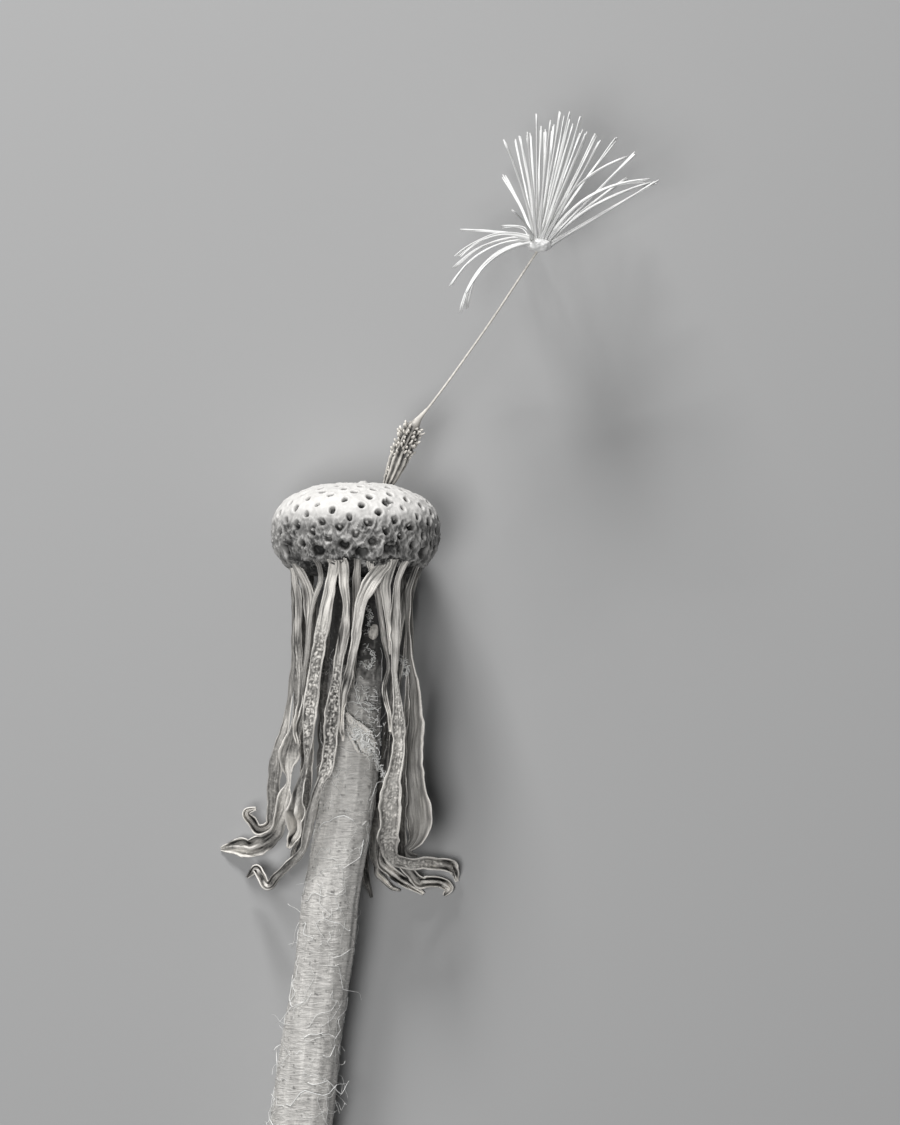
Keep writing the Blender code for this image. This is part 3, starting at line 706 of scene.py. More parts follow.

# %% [markdown]
# ## The bracts
#
# Green straps once wrapped the bud. Now they hang dry round the stem: dished like a gutter, rolled pale at
# both edges, folded, frayed, and curled up at the tips. In some the trough has rotted to a honeycomb. Each
# one is a strip: the route gives its middle, width and facing, and across it a profile adds the dish, the
# rolled edge and the veins. Its tone adds a painted highlight on the pale edges, painted shade along a
# crease, beside the edges and down the trough, and painted light and shade on the crumpled tips.

# %% The routes of the bracts
# Each: the angle round the receptacle where it is attached (0 is +X, 90 is up), and the route: x, y, z,
# width, facing in degrees about the stem (0 up, 90 to +X, -90 to -X).
BRACTS = {
    "bract_01": (168, (
        (-2.86, -3.40, 4.85, 0.62, -38), (-2.80, -5.80, 4.75, 0.58, -36), (-2.76, -7.90, 4.45, 0.56, -34),
        (-2.84, -9.40, 4.05, 0.62, -24), (-3.20, -10.70, 3.75, 1.10, -10), (-3.28, -11.50, 3.50, 0.70, -30),
        (-3.24, -12.15, 3.30, 0.34, -46), (-3.42, -12.90, 3.05, 0.76, -12), (-3.66, -14.00, 2.55, 0.76, 4),
        (-4.02, -14.80, 1.85, 0.92, 8), (-4.70, -15.28, 1.15, 0.98, 4), (-5.50, -15.42, 0.62, 0.86, 0),
        (-6.10, -15.46, 0.30, 0.50, 0), (-6.62, -15.48, 0.13, 0.14, 0))),
    "bract_02": (190, (
        (-2.98, -3.40, 3.35, 0.52, -62), (-2.98, -5.90, 3.20, 0.50, -60), (-3.12, -7.60, 2.98, 0.50, -58),
        (-3.40, -9.40, 2.70, 0.62, -50), (-3.78, -10.70, 2.38, 0.74, -34), (-3.98, -12.20, 2.02, 0.84, -24),
        (-4.02, -13.40, 1.62, 0.66, -16), (-4.22, -14.30, 1.22, 0.46, -6), (-4.70, -14.55, 0.98, 0.44, 0),
        (-5.12, -14.10, 0.98, 0.40, 0), (-5.20, -13.68, 1.16, 0.34, 0), (-4.78, -13.52, 1.42, 0.12, 0))),
    "bract_03": (150, (
        (-2.36, -2.70, 6.05, 0.60, -24), (-2.22, -3.40, 5.90, 0.62, -26), (-2.20, -4.60, 5.62, 0.42, -30),
        (-2.30, -6.00, 5.32, 0.26, -30), (-2.42, -7.20, 5.05, 0.12, -30))),
    "bract_04": (122, (
        (-1.66, -2.50, 6.92, 0.32, -40), (-1.96, -3.40, 6.70, 0.30, -46), (-2.16, -4.40, 6.42, 0.28, -46),
        (-2.28, -5.60, 6.10, 0.28, -40), (-2.48, -7.20, 5.72, 0.26, -40), (-2.76, -9.00, 5.30, 0.24, -36),
        (-2.80, -10.40, 4.98, 0.12, -30))),
    "bract_05": (108, (
        (-1.22, -2.90, 7.12, 0.64, -14), (-1.43, -3.98, 6.94, 0.80, -16), (-1.68, -5.33, 6.62, 0.70, -14),
        (-1.96, -7.10, 6.20, 0.68, -18), (-2.18, -8.90, 5.84, 0.84, -18), (-2.26, -10.10, 5.56, 0.56, -24),
        (-2.38, -11.30, 5.20, 0.30, -34), (-2.66, -12.50, 4.78, 0.70, -30), (-2.86, -13.70, 4.34, 0.84, -22),
        (-2.96, -14.60, 3.96, 0.62, -14), (-3.18, -15.35, 3.60, 0.12, -6))),
    "bract_06": (100, (
        (-0.52, -2.70, 7.30, 0.54, -6), (-0.42, -3.74, 7.10, 0.34, -4), (-0.54, -4.95, 6.82, 0.56, -8),
        (-0.80, -6.38, 6.46, 0.50, -10), (-0.92, -7.40, 6.20, 0.54, -10), (-1.09, -8.70, 5.90, 0.76, -8),
        (-1.30, -11.10, 5.42, 0.68, -14), (-1.74, -12.30, 5.20, 0.46, -22), (-2.12, -13.50, 4.98, 0.52, -24),
        (-2.32, -14.50, 4.66, 0.52, -20), (-2.54, -15.40, 4.18, 0.38, -10), (-3.30, -16.20, 3.32, 0.40, 0),
        (-3.90, -16.80, 2.56, 0.42, 0), (-4.26, -17.18, 2.06, 0.40, 0), (-4.62, -16.66, 1.66, 0.38, 0),
        (-4.86, -16.46, 1.42, 0.34, 0), (-5.34, -16.86, 0.96, 0.10, 0))),
    "bract_07": (88, (
        (0.06, -2.60, 6.80, 0.42, 2), (0.06, -3.60, 6.40, 0.42, 2), (0.00, -5.00, 6.02, 0.36, 0),
        (-0.08, -6.40, 5.70, 0.22, 0), (-0.14, -7.60, 5.42, 0.10, 0))),
    "bract_08": (66, (
        (0.70, -2.65, 7.36, 0.86, 6), (0.26, -3.66, 7.10, 0.58, 2), (0.02, -5.20, 6.78, 0.46, 0),
        (-0.18, -6.30, 6.52, 0.44, -4), (-0.38, -7.25, 6.24, 0.44, -4), (-0.52, -8.20, 5.96, 0.32, -4),
        (-0.58, -9.30, 5.66, 0.18, -4), (-0.62, -10.20, 5.44, 0.07, -4))),
    "bract_09": (77, (
        (1.02, -2.80, 6.42, 0.32, 10), (1.22, -4.30, 6.06, 0.30, 16), (1.42, -5.60, 5.72, 0.24, 20),
        (1.58, -6.60, 5.44, 0.20, 20), (1.42, -7.60, 5.16, 0.20, 10), (1.56, -8.60, 4.98, 0.18, 10),
        (1.62, -9.70, 4.82, 0.07, 10))),
    "bract_10": (58, (
        (1.46, -2.65, 6.86, 0.52, 12), (1.48, -3.50, 6.62, 0.42, 14), (1.58, -4.60, 6.34, 0.28, 14),
        (1.68, -6.00, 5.98, 0.12, 14))),
    "bract_11": (46, (
        (1.98, -2.60, 6.34, 0.36, 24), (1.93, -3.60, 6.34, 0.50, 22), (1.90, -5.20, 6.52, 0.62, 16),
        (1.87, -6.30, 6.30, 0.34, 18), (1.88, -7.10, 6.10, 0.28, 20), (1.98, -8.00, 5.86, 0.40, 16),
        (2.07, -9.20, 5.56, 0.68, 10), (2.07, -10.30, 5.30, 0.66, 10), (1.95, -11.20, 5.08, 0.70, 8),
        (1.76, -12.20, 4.86, 0.92, 4), (1.65, -13.20, 4.62, 1.16, 2), (1.62, -14.20, 4.30, 1.14, 2),
        (1.56, -15.10, 3.80, 1.00, 0), (1.74, -15.82, 3.05, 0.70, 0), (2.52, -16.14, 2.20, 0.60, 0),
        (3.50, -16.12, 1.40, 0.60, 0), (4.34, -16.20, 0.76, 0.52, 0), (4.72, -16.56, 0.38, 0.34, 0),
        (4.86, -17.10, 0.13, 0.12, 0))),
    "bract_12": (26, (
        (2.52, -2.90, 5.36, 0.38, 40), (2.50, -3.70, 5.30, 0.40, 40), (2.46, -4.66, 5.16, 0.26, 46),
        (2.48, -5.60, 5.02, 0.42, 42), (2.62, -6.80, 4.82, 0.50, 38), (2.76, -7.80, 4.60, 0.68, 32),
        (2.80, -9.20, 4.36, 0.98, 24), (2.74, -10.70, 4.12, 0.90, 20), (2.80, -12.10, 3.90, 1.02, 16),
        (2.98, -13.40, 3.68, 1.34, 10), (3.02, -14.15, 3.54, 1.36, 6), (2.96, -14.75, 3.42, 1.00, 4),
        (2.74, -15.16, 3.34, 0.56, 4), (2.50, -15.40, 3.30, 0.32, 0), (2.66, -15.66, 3.16, 0.24, 0),
        (2.94, -15.72, 3.00, 0.10, 0))),
    "bract_13": (6, (
        (2.66, -3.40, 4.10, 0.50, 70), (2.58, -6.00, 3.85, 0.50, 64), (2.44, -9.00, 3.35, 0.52, 54),
        (2.26, -12.00, 2.74, 0.54, 42), (2.12, -14.40, 2.10, 0.54, 28), (2.24, -16.00, 1.48, 0.54, 14),
        (2.66, -16.68, 1.04, 0.50, 0), (3.20, -17.08, 0.64, 0.48, 0), (3.90, -17.12, 0.36, 0.46, 0),
        (4.46, -17.30, 0.16, 0.36, 0), (4.30, -17.74, 0.12, 0.12, 0))),
    "bract_14": (344, (
        (2.60, -3.40, 3.00, 0.52, 104), (2.30, -6.00, 2.85, 0.50, 100), (1.88, -9.00, 2.50, 0.52, 92),
        (1.62, -12.00, 1.96, 0.54, 74), (1.36, -14.60, 1.42, 0.50, 40), (1.20, -16.00, 1.06, 0.48, 14),
        (1.84, -16.72, 0.70, 0.46, 0), (2.46, -17.12, 0.40, 0.42, 0), (3.16, -17.64, 0.12, 0.12, 0))),
    "bract_15": (318, (
        (2.14, -3.40, 1.85, 0.56, 136), (1.84, -6.50, 1.64, 0.54, 134), (1.46, -10.00, 1.28, 0.52, 136),
        (1.06, -13.00, 0.92, 0.50, 150), (0.86, -15.60, 0.62, 0.42, 168), (1.30, -17.00, 0.34, 0.34, 180),
        (2.14, -17.52, 0.12, 0.08, 180))),
    "bract_16": (288, (
        (0.90, -3.40, 1.08, 0.62, 164), (0.72, -7.00, 0.90, 0.60, 168), (0.42, -11.00, 0.68, 0.58, 172),
        (0.22, -14.50, 0.42, 0.52, 176), (0.38, -16.80, 0.22, 0.36, 180), (0.72, -17.80, 0.11, 0.08, 180))),
    "bract_17": (252, (
        (-1.18, -3.40, 1.16, 0.86, 200), (-1.40, -7.00, 0.94, 0.92, 198), (-1.52, -11.00, 0.64, 0.86, 192),
        (-1.62, -14.20, 0.32, 0.60, 184), (-1.66, -16.20, 0.11, 0.08, 180))),
    "bract_18": (220, (
        (-2.32, -3.40, 2.12, 1.12, 222), (-2.34, -6.50, 1.88, 0.90, 214), (-2.38, -10.00, 1.46, 0.84, 208),
        (-2.52, -13.00, 0.96, 0.60, 200), (-2.80, -15.00, 0.50, 0.40, 190),
        (-3.26, -16.30, 0.12, 0.08, 180))),
}
print("routes:", len(BRACTS))


# %% How each bract looks
# Its tone; how deep it is dished; how much of its trough has gone to honeycomb, and how many mm along it
# that starts and fades; how far its tip curls up; and 1 where only the edge towards +X is pale, that edge
# partly pale tissue and partly a painted highlight.
LOOKS = {
    "bract_01": dict(tone=0.94, dish=0.12, honeycomb=0.20, curl=0.5),
    "bract_02": dict(tone=0.52, dish=0.16, honeycomb=0.24, eaten_from=6.0),
    "bract_03": dict(tone=0.90, dish=0.10, honeycomb=0.05),
    "bract_04": dict(tone=0.52, dish=0.22, honeycomb=0.10),
    "bract_05": dict(tone=1.12, dish=0.20, honeycomb=0.90, eaten_from=2.6, eaten_to=8.6),
    "bract_06": dict(tone=0.84, dish=0.18, honeycomb=1.00, eaten_from=4.4, eaten_to=10.0),
    "bract_07": dict(tone=0.62, dish=0.20, honeycomb=0.10),
    "bract_08": dict(tone=1.05, dish=0.12, honeycomb=0.05),
    "bract_09": dict(tone=0.76, dish=0.18, honeycomb=0.10),
    "bract_10": dict(tone=0.86, dish=0.18, honeycomb=0.20),
    "bract_11": dict(tone=0.90, dish=0.24, honeycomb=0.60, eaten_from=5.4),
    "bract_12": dict(tone=0.42, dish=0.08, honeycomb=0.0, curl=0.0, one_edge=1),
    "bract_13": dict(tone=0.84, dish=0.30, honeycomb=0.30, curl=1.2),
    "bract_14": dict(tone=0.78, dish=0.30, honeycomb=0.30, curl=1.2),
    "bract_15": dict(tone=0.66, dish=0.30, honeycomb=0.30),
    "bract_16": dict(tone=0.50, dish=0.20, honeycomb=0.30),
    "bract_17": dict(tone=0.46, dish=0.20, honeycomb=0.30),
    "bract_18": dict(tone=0.48, dish=0.20, honeycomb=0.30),
}
print("honeycombed bracts:", [name for name, look in LOOKS.items() if look["honeycomb"] > 0.5])

# %% Where a bract clasps the receptacle
ROOT_HEIGHT, ROOT_CLIMB, ROOT_GAP = -1.92, 0.42, 0.02
ROOT_TURN, KNEE_TURN = 0.8, 0.4
ROOT_WIDTH, KNEE_WIDTH = (0.62, 0.20), (0.85, 0.05)
KNEE_REACH, KNEE_SPREAD, KNEE_DROP = 3.02, 0.24, 0.34
LOWER_OUTLINE = OUTLINE[8:14]


def clasp_points(attached, hang):
    """The first two points of a bract: against the flank of the receptacle, facing straight out of it, and
    a little lower, half turned to its own facing. Upper bracts clasp it higher."""
    climb = max(0.0, math.sin(math.radians(attached)))
    height = ROOT_HEIGHT + ROOT_CLIMB * climb
    flank = np.interp(-height, -LOWER_OUTLINE[:, 1], LOWER_OUTLINE[:, 0])
    width, facing = hang[0][3:5]
    turned = (90 - attached - facing + 180) % 360 - 180
    cos, sin = math.cos(math.radians(attached)), math.sin(math.radians(attached))

    def clasp(reach, level, breadth, share):
        return (*on_head(reach * cos, reach * sin, level), breadth[0] * width + breadth[1],
                facing + share * turned)

    return (clasp(flank + ROOT_GAP, height, ROOT_WIDTH, ROOT_TURN),
            clasp(KNEE_REACH + KNEE_SPREAD * climb, height - KNEE_DROP, KNEE_WIDTH, KNEE_TURN))


print("root of bract_08:", np.round(clasp_points(*BRACTS["bract_08"])[0], 2))


# %% The frame of a strip
ROWS_PER_MM, BRACT_COLUMNS = 25, 35
BRACT_WALL = 0.05
LONG_STRIP = 8
CELL_FROM, NEVER = 2.6, 99.0


def strip_frame(number, path, curl):
    """The middle line, half the width, the directions across and outward, and how crumpled the tip is."""
    length = np.linalg.norm(np.diff(np.array(path)[:, :3], axis=0), axis=1).sum()
    route, along = through(path, int(length * ROWS_PER_MM))
    line = joined(along, number * 7.3, 0.0)
    tip = smooth(along[-1] - 3.4, along[-1] - 1.2, along)[:, None] * curl * (along[-1] > LONG_STRIP)
    middle = route[:, :3] + 0.11 * tip * np.stack([noise(line, 0.55, seed) for seed in (43, 44, 45)], axis=1)
    width = route[:, 3] * (1 + 0.10 * noise(line, 0.7, 31) + 0.42 * tip[:, 0])
    look = np.radians(route[:, 4] + 14 * noise(line, 2.2, 32) * smooth(0.0, 3.0, along))
    forward = unit(np.gradient(middle, axis=0))
    across = unit(np.cross(forward, joined(np.sin(look), 0.0, np.cos(look))))
    u = np.linspace(-1.0, 1.0, BRACT_COLUMNS)[None, :]
    return SimpleNamespace(number=number, line=line, s=along[:, None], tip=tip, u=u, edge=np.abs(u),
                           half=0.5 * width[:, None], middle=middle[:, None], across=across[:, None],
                           outward=np.cross(across, forward)[:, None])


sample = strip_frame(0, BRACTS["bract_05"][1], curl=1.0)
print("rows of one strip:", len(sample.line))


# %% Fibres and honeycomb
def grow_pattern(strip, honeycomb, eaten_from, eaten_to):
    """Fibres: ridged noise drawn out along the strip. Honeycomb: between its two ends, and only inside the
    edges, a web where a rounder noise crosses zero, broken up by a finer one."""
    field = strip.field = joined(strip.half * strip.u, strip.s, strip.number * 7.3)
    strip.fibre = 1 - np.abs(noise(field * (1.0, 0.06, 1), 0.12, 35)) / 0.5
    strip.fine = noise(field * (1.0, 0.10, 1), 0.045, 40)
    strip.late = smooth(eaten_to, eaten_to + 2.0, strip.s)
    began = smooth(eaten_from, eaten_from + 2.0, strip.s)
    strip.inside = smooth(0.84, 0.55, strip.edge) * began * (1 - 0.8 * strip.late)
    strip.eaten = strip.inside * honeycomb
    web = 1 - np.abs(noise(field * (1.0, 0.8, 1), 0.135, 37)) / 0.30
    strip.cells = strip.eaten * (0.6 * np.clip(web, -0.5, 1) + 0.9 * noise(field, 0.065, 38))


grow_pattern(sample, 0.9, CELL_FROM, NEVER)
print("share of it that is cell wall:", round(float((sample.cells > 0.2).mean()), 2))


# %% The shape of a strip
def strip_points(strip, dish, one_edge):
    """Point = middle + across * half width * u + outward * profile(u). The profile is a gutter (u squared)
    that closes up towards the tip, edges rolled over (a smoothstep near u = 1), fibres and crumples."""
    half, u, tip, field = strip.half, strip.u, strip.tip, strip.field
    deep = dish * (1 + 0.8 * noise(strip.line, 1.6, 34))[:, None] + 0.34 * tip
    roll = smooth(0.74, 1.0, strip.edge)
    profile = 2 * half * deep * (u**2 - 0.45) - (0.20 + 0.25 * tip) * half * roll * (1 - 2.4 * one_edge)
    profile = profile + 0.40 * tip * half * np.cos(math.tau * u)
    profile = profile + 0.022 * strip.fibre + 0.008 * strip.fine + 0.045 * strip.cells
    profile = profile + half * (0.22 + 0.50 * tip) * noise(field * (1.0, 0.40, 1), 0.36, 36)
    frayed = noise(joined(np.sign(u) * 5, strip.s, strip.number * 3.1), 0.34, 33)
    reach = half * u * (1 + (0.13 + 0.12 * tip) * frayed) * (1 - 0.10 * roll - 0.12 * tip)
    points = strip.middle + reach[..., None] * strip.across + profile[..., None] * strip.outward
    points[..., 2] = np.maximum(points[..., 2], 0.5 * BRACT_WALL + 0.01)
    return points


print("its size, mm:", np.ptp(strip_points(sample, 0.2, 0), axis=(0, 1)).round(1))


# %% The tone of a strip
def strip_tone(strip, tone, one_edge):
    """Pale rolled edges worn off in places and brightened by a painted highlight, painted shade beside them
    and down the middle of the trough, painted shade along a crease that wanders down the strip, large worn
    patches, painted light and shade on the crumpled tip, lighter where it lies in shade, and pale cell walls
    over a dark trough."""
    half, u, s, tip, field, edge = strip.half, strip.u, strip.s, strip.tip, strip.field, strip.edge
    worn_edge = 0.62 + 0.95 * noise(joined(np.sign(u) * 9, s, strip.number * 2.3), 0.75, 46)
    pale_side = np.where(one_edge * u > 0, 0.0, 1.0)
    # The pale rolled edge: partly the edge's own pale tissue, partly a painted highlight.
    pale = smooth(0.80, 0.95, edge * pale_side) * np.clip(worn_edge + one_edge, 0.1, 1)
    # Painted shade along a crease that wanders down the strip; the shape has no crease there.
    painted_crease_shade = np.exp(-(((u - 0.42 - 0.9 * noise(strip.line, 1.7, 47)[:, None]) / 0.13) ** 2))
    painted_crease_shade = painted_crease_shade * (1 - strip.eaten) * smooth(0.15, 0.30, half) * (1 - one_edge)
    # Painted shade just inside each rolled edge.
    beside = np.exp(-(((edge - 0.64) / 0.15) ** 2))
    worn = noise(field * (0.6, 0.25, 1), 0.9, 39) + 0.6 * noise(field * (1.0, 0.45, 1), 0.33, 41)
    # Painted light and shade on the crumpled tip: lighter overall where the tip lies in shade, with light and
    # dark bands that follow the crumple in its shape.
    crumpled = tip * (0.20 + 0.60 * np.cos(math.tau * u)) + 1.9 * tip * noise(field * (1.0, 0.3, 1), 0.16, 42)
    tones = tone * (0.66 + 0.58 * np.clip(strip.fibre, 0, 1) + 0.30 * strip.fine + 0.56 * worn - 0.50 * painted_crease_shade
                    + crumpled)
    tones = tones + one_edge * 0.34 * np.exp(-(((s - 0.84 * s[-1]) / 1.5) ** 2)) * (1 - u**2)
    # Painted shade: darker beside the rolled edges and towards the middle of the trough.
    tones = tones * (1 - 0.52 * beside - 0.34 * (1 - edge) * strip.inside)
    tones = tones * (1 - 0.55 * strip.late * (1 - 0.5 * tip))
    tones = tones + (0.38 + 0.45 * tone) * pale * (1 + 0.9 * worn)
    tones = tones * (1 - 0.74 * strip.eaten) + 0.80 * np.clip(strip.cells + 0.06 * strip.eaten, 0, 1)
    return np.clip(tones, 0.02, 1.0)


print("its mean tone:", round(float(strip_tone(sample, 1.0, 0).mean()), 2))


# %% One withered strip
def withered_strip(name, number, path, slot, replaced=(), *, tone, dish, honeycomb, one_edge=0, curl=1.0,
                   eaten_from=CELL_FROM, eaten_to=NEVER):
    strip = strip_frame(number, path, curl)
    grow_pattern(strip, honeycomb, eaten_from, eaten_to)
    points = strip_points(strip, dish, one_edge).reshape(-1, 3)
    tones = strip_tone(strip, tone, one_edge).ravel()
    made = piece_of(name, points, [woven(len(strip.line), BRACT_COLUMNS)], bract_finish, slot, replaced,
                    tone=tones, route=strip.field.reshape(-1, 3))
    wall = made.modifiers.new("wall", "SOLIDIFY")
    wall.thickness = BRACT_WALL * MM
    wall.offset = 0.0
    return made


bracts = [withered_strip(name + "_strap", number, (*clasp_points(attached, hang), *hang), "dry_bract",
                         (name,), **LOOKS[name])
          for number, (name, (attached, hang)) in enumerate(BRACTS.items())]
print("bracts:", len(bracts))

# %% [markdown]
# ## Torn skin and fluff in the opening
#
# Where the bracts part, the stem shows. There its skin has torn: a ragged white flap stands off it, a beaded
# thread trails from the flap, and tufts of cobweb hair and a lump of pith sit in the dark hollow under the
# head. The flap is a withered strip like the bracts. The fluff is hair again: short random walks that all
# start along one thread.

# %% The flap of torn skin
TORN_PATH = (
    (-0.42, -8.80, 5.06, 0.10, -8), (-0.22, -9.25, 5.14, 0.50, -4), (0.06, -9.70, 5.14, 0.98, 4),
    (0.36, -10.10, 5.08, 1.30, 10), (0.54, -10.42, 5.00, 1.20, 14), (0.74, -10.84, 4.86, 0.40, 20),
)
torn_skin = withered_strip("torn_skin", 40, TORN_PATH, "stem_skin", tone=1.25, dish=0.04, honeycomb=0.15)
print("torn skin corners:", len(torn_skin.data.vertices))


# %% Fluff along a thread
def fluff(name, thread, count, spread, length, radius=0.014, steps=9):
    """Hair = start + running sum of (a wandering heading * step): starts are scattered about the thread, and
    each heading is a random direction plus a random turn that grows along the hair."""
    route, _ = through(thread, 60)
    start = route[random.integers(0, 60, count), :3] + random.normal(0, spread, (count, 3))
    heading = unit(random.normal(0, 1, (count, 1, 3)))
    swing = random.normal(0, 1, (count, 1, 3)) * np.linspace(0, 2.6, steps)[None, :, None]
    pace = unit(heading + swing) * (length * random.uniform(0.5, 1.3, (count, 1, 1)) / steps)
    paths = start[:, None] + np.cumsum(pace, axis=1)
    return piece_of(name, *strands(paths, np.full((count, steps), radius), 4), hair_finish, "stem_skin")


# Each: the thread, how many hairs, how far they start from it, and how long they are (mm).
FLUFFS = {
    "fluff_on_torn_skin": (((-0.10, -9.45, 5.26), (0.34, -10.05, 5.22), (0.74, -10.60, 5.06)),
                           420, 0.17, 0.30),
    "fluff_beaded_thread": (((0.78, -10.60, 4.80), (1.05, -11.20, 4.58), (1.30, -11.70, 4.40),
                             (1.52, -12.30, 4.20)), 130, 0.045, 0.22),
    "fluff_upper_wisp": (((0.46, -3.60, 5.30), (0.62, -4.05, 5.22), (0.60, -4.50, 5.10), (0.50, -5.00, 5.05)),
                         110, 0.05, 0.20),
    "fluff_hooked_wisp": (((0.30, -5.60, 5.10), (0.78, -5.92, 5.14), (0.86, -6.30, 5.10), (0.62, -6.62, 5.06),
                           (0.16, -6.30, 5.04)), 80, 0.03, 0.22),
    "fluff_right_knot": (((2.05, -6.10, 5.35), (2.35, -6.45, 5.20), (2.55, -6.75, 5.05), (2.30, -7.05, 5.00)),
                         70, 0.04, 0.20),
    "fluff_on_upper_stem": (((-0.10, -7.20, 4.92), (0.40, -8.20, 4.84), (0.75, -9.20, 4.66),
                             (0.95, -10.00, 4.50)), 150, 0.26, 0.34),
    "fluff_gap_wisps": (((-0.95, -7.90, 4.95), (-1.00, -9.00, 4.75), (-1.30, -10.20, 4.60)), 60, 0.10, 0.30),
}
fluffs = [fluff(name, *facts) for name, facts in FLUFFS.items()]
print("tufts of fluff:", len(fluffs))


# %% A lump
def make_lump(name, centre, size, finish, slot, tone=0.62, rings=38, columns=48):
    """A ball with its radius swelled by noise: direction = (sin, cos) of two angles, times the half sizes."""
    tall = np.linspace(0.0, math.pi, rings + 2)[1:-1, None]
    turn = np.linspace(0.0, math.tau, columns, endpoint=False)[None, :]
    ball = joined(np.sin(tall) * np.cos(turn), np.sin(tall) * np.sin(turn), np.cos(tall))
    ball = np.vstack([ball.reshape(-1, 3), [(0.0, 0.0, 1.0), (0.0, 0.0, -1.0)]])
    lumpy = 1 + 0.22 * noise(ball, 0.6, 71) + 0.10 * noise(ball, 0.22, 72)
    points = np.array(centre) + ball * np.array(size) * lumpy[:, None]
    return piece_of(name, points, ball_faces(rings, columns), finish, slot,
                    tone=tone + 0.25 * noise(ball, 0.3, 73))


pith_lump = make_lump("pith_lump", (0.84, -4.92, 4.98), (0.26, 0.34, 0.20), seed_finish, "stem_skin")
print("lump corners:", len(pith_lump.data.vertices))

# %% [markdown]
# ## The seed that is left
#
# The seed, its long beak and the little disc that holds the bristles grow as one piece. The lower half of
# the seed is ribbed and smooth; the upper half bristles with short teeth that point up the seed. Above the
# teeth it narrows to a cone and then to a beak as thin as a hair.

# %% The seed's route and its ribbed surface
SEED_ROUTE = np.array([
    (1.58, 2.24, 4.02, 0.26), (1.66, 2.42, 4.05, 0.31), (1.84, 2.85, 4.12, 0.38),
    (2.05, 3.35, 4.20, 0.46), (2.24, 3.80, 4.27, 0.49), (2.42, 4.20, 4.33, 0.48),
    (2.58, 4.55, 4.38, 0.46), (2.72, 4.82, 4.43, 0.38), (2.88, 5.06, 4.47, 0.23),
    (3.08, 5.34, 4.51, 0.13), (3.35, 5.66, 4.56, 0.08), (3.62, 5.98, 4.61, 0.06),
    (4.57, 7.25, 4.75, 0.055), (6.30, 9.68, 5.05, 0.055), (7.50, 11.47, 5.31, 0.055),
    (8.62, 13.17, 5.54, 0.06), (8.72, 13.33, 5.565, 0.10), (8.80, 13.47, 5.58, 0.13),
    (8.88, 13.61, 5.60, 0.13), (8.93, 13.69, 5.61, 0.08),
])
SEED_FOOT = (1.50, 2.02, 4.01, 0.22)
SEED_ROWS, SEED_SPOKES = 460, 54
SEED_RIBS = 9
# Along the seed, in mm from its foot: where the ribs fade into the cone, and where the beak begins.
RIBS_FADE, BEAK_BEGINS = (3.35, 2.75), (3.0, 3.7)
TEETH_ROWS, TEETH_ROUND = 9, 11
TEETH_FROM, TEETH_TO = 1.60, 3.12
LOW_BEADS, BEADS_FROM = 46, 0.35


def seed_frame(count):
    """The seed's middle line with its foot let into the receptacle, its radius, and three directions."""
    route, along = through(np.vstack([SEED_FOOT, SEED_ROUTE]), count)
    forward = unit(np.gradient(route[:, :3], axis=0))
    right = unit(np.cross(forward, (0.0, 0.0, 1.0)))
    return route[:, :3], route[:, 3], right, np.cross(right, forward), forward, along


def make_seed():
    """Radius = route's radius * (1 + rib cosine), the ribs fading out above the cone."""
    middle, radius, right, up, forward, along = seed_frame(SEED_ROWS)
    turn = np.linspace(0.0, math.tau, SEED_SPOKES, endpoint=False)[None, :]
    s = along[:, None]
    body = smooth(*RIBS_FADE, s)
    crest = 0.5 + 0.5 * np.cos(SEED_RIBS * turn + 0.35 * np.sin(2.2 * s))
    ribs = body * (0.30 * crest**0.7 - 0.20)
    lumps = body * 0.05 * noise(joined(np.cos(turn), np.sin(turn), 2 * s), 0.3, 41)
    reach = radius[:, None] * (1 + ribs + lumps - 0.15 * body * smooth(1.3, 1.8, s) * smooth(3.1, 2.7, s))
    points = middle[:, None] + reach[..., None] * round_about(turn, right[:, None], up[:, None])
    tone = 0.06 + 0.72 * crest**1.6 * body + 0.72 * smooth(*BEAK_BEGINS, s) + 0 * turn
    tone = tone + 0.12 * noise(points, 0.12, 42) - 0.30 * body * smooth(1.5, 2.0, s)
    ring = np.arange(SEED_SPOKES)
    caps = np.stack([ring[::-1], (SEED_ROWS - 1) * SEED_SPOKES + ring])
    return piece_of("seed_and_beak", points.reshape(-1, 3),
                    [woven(SEED_ROWS, SEED_SPOKES, wrap_columns=True), caps],
                    seed_finish, "seed_coat", ("seed",), tone=np.clip(tone, 0.05, 1).ravel())


seed = make_seed()
print("seed corners:", len(seed.data.vertices))


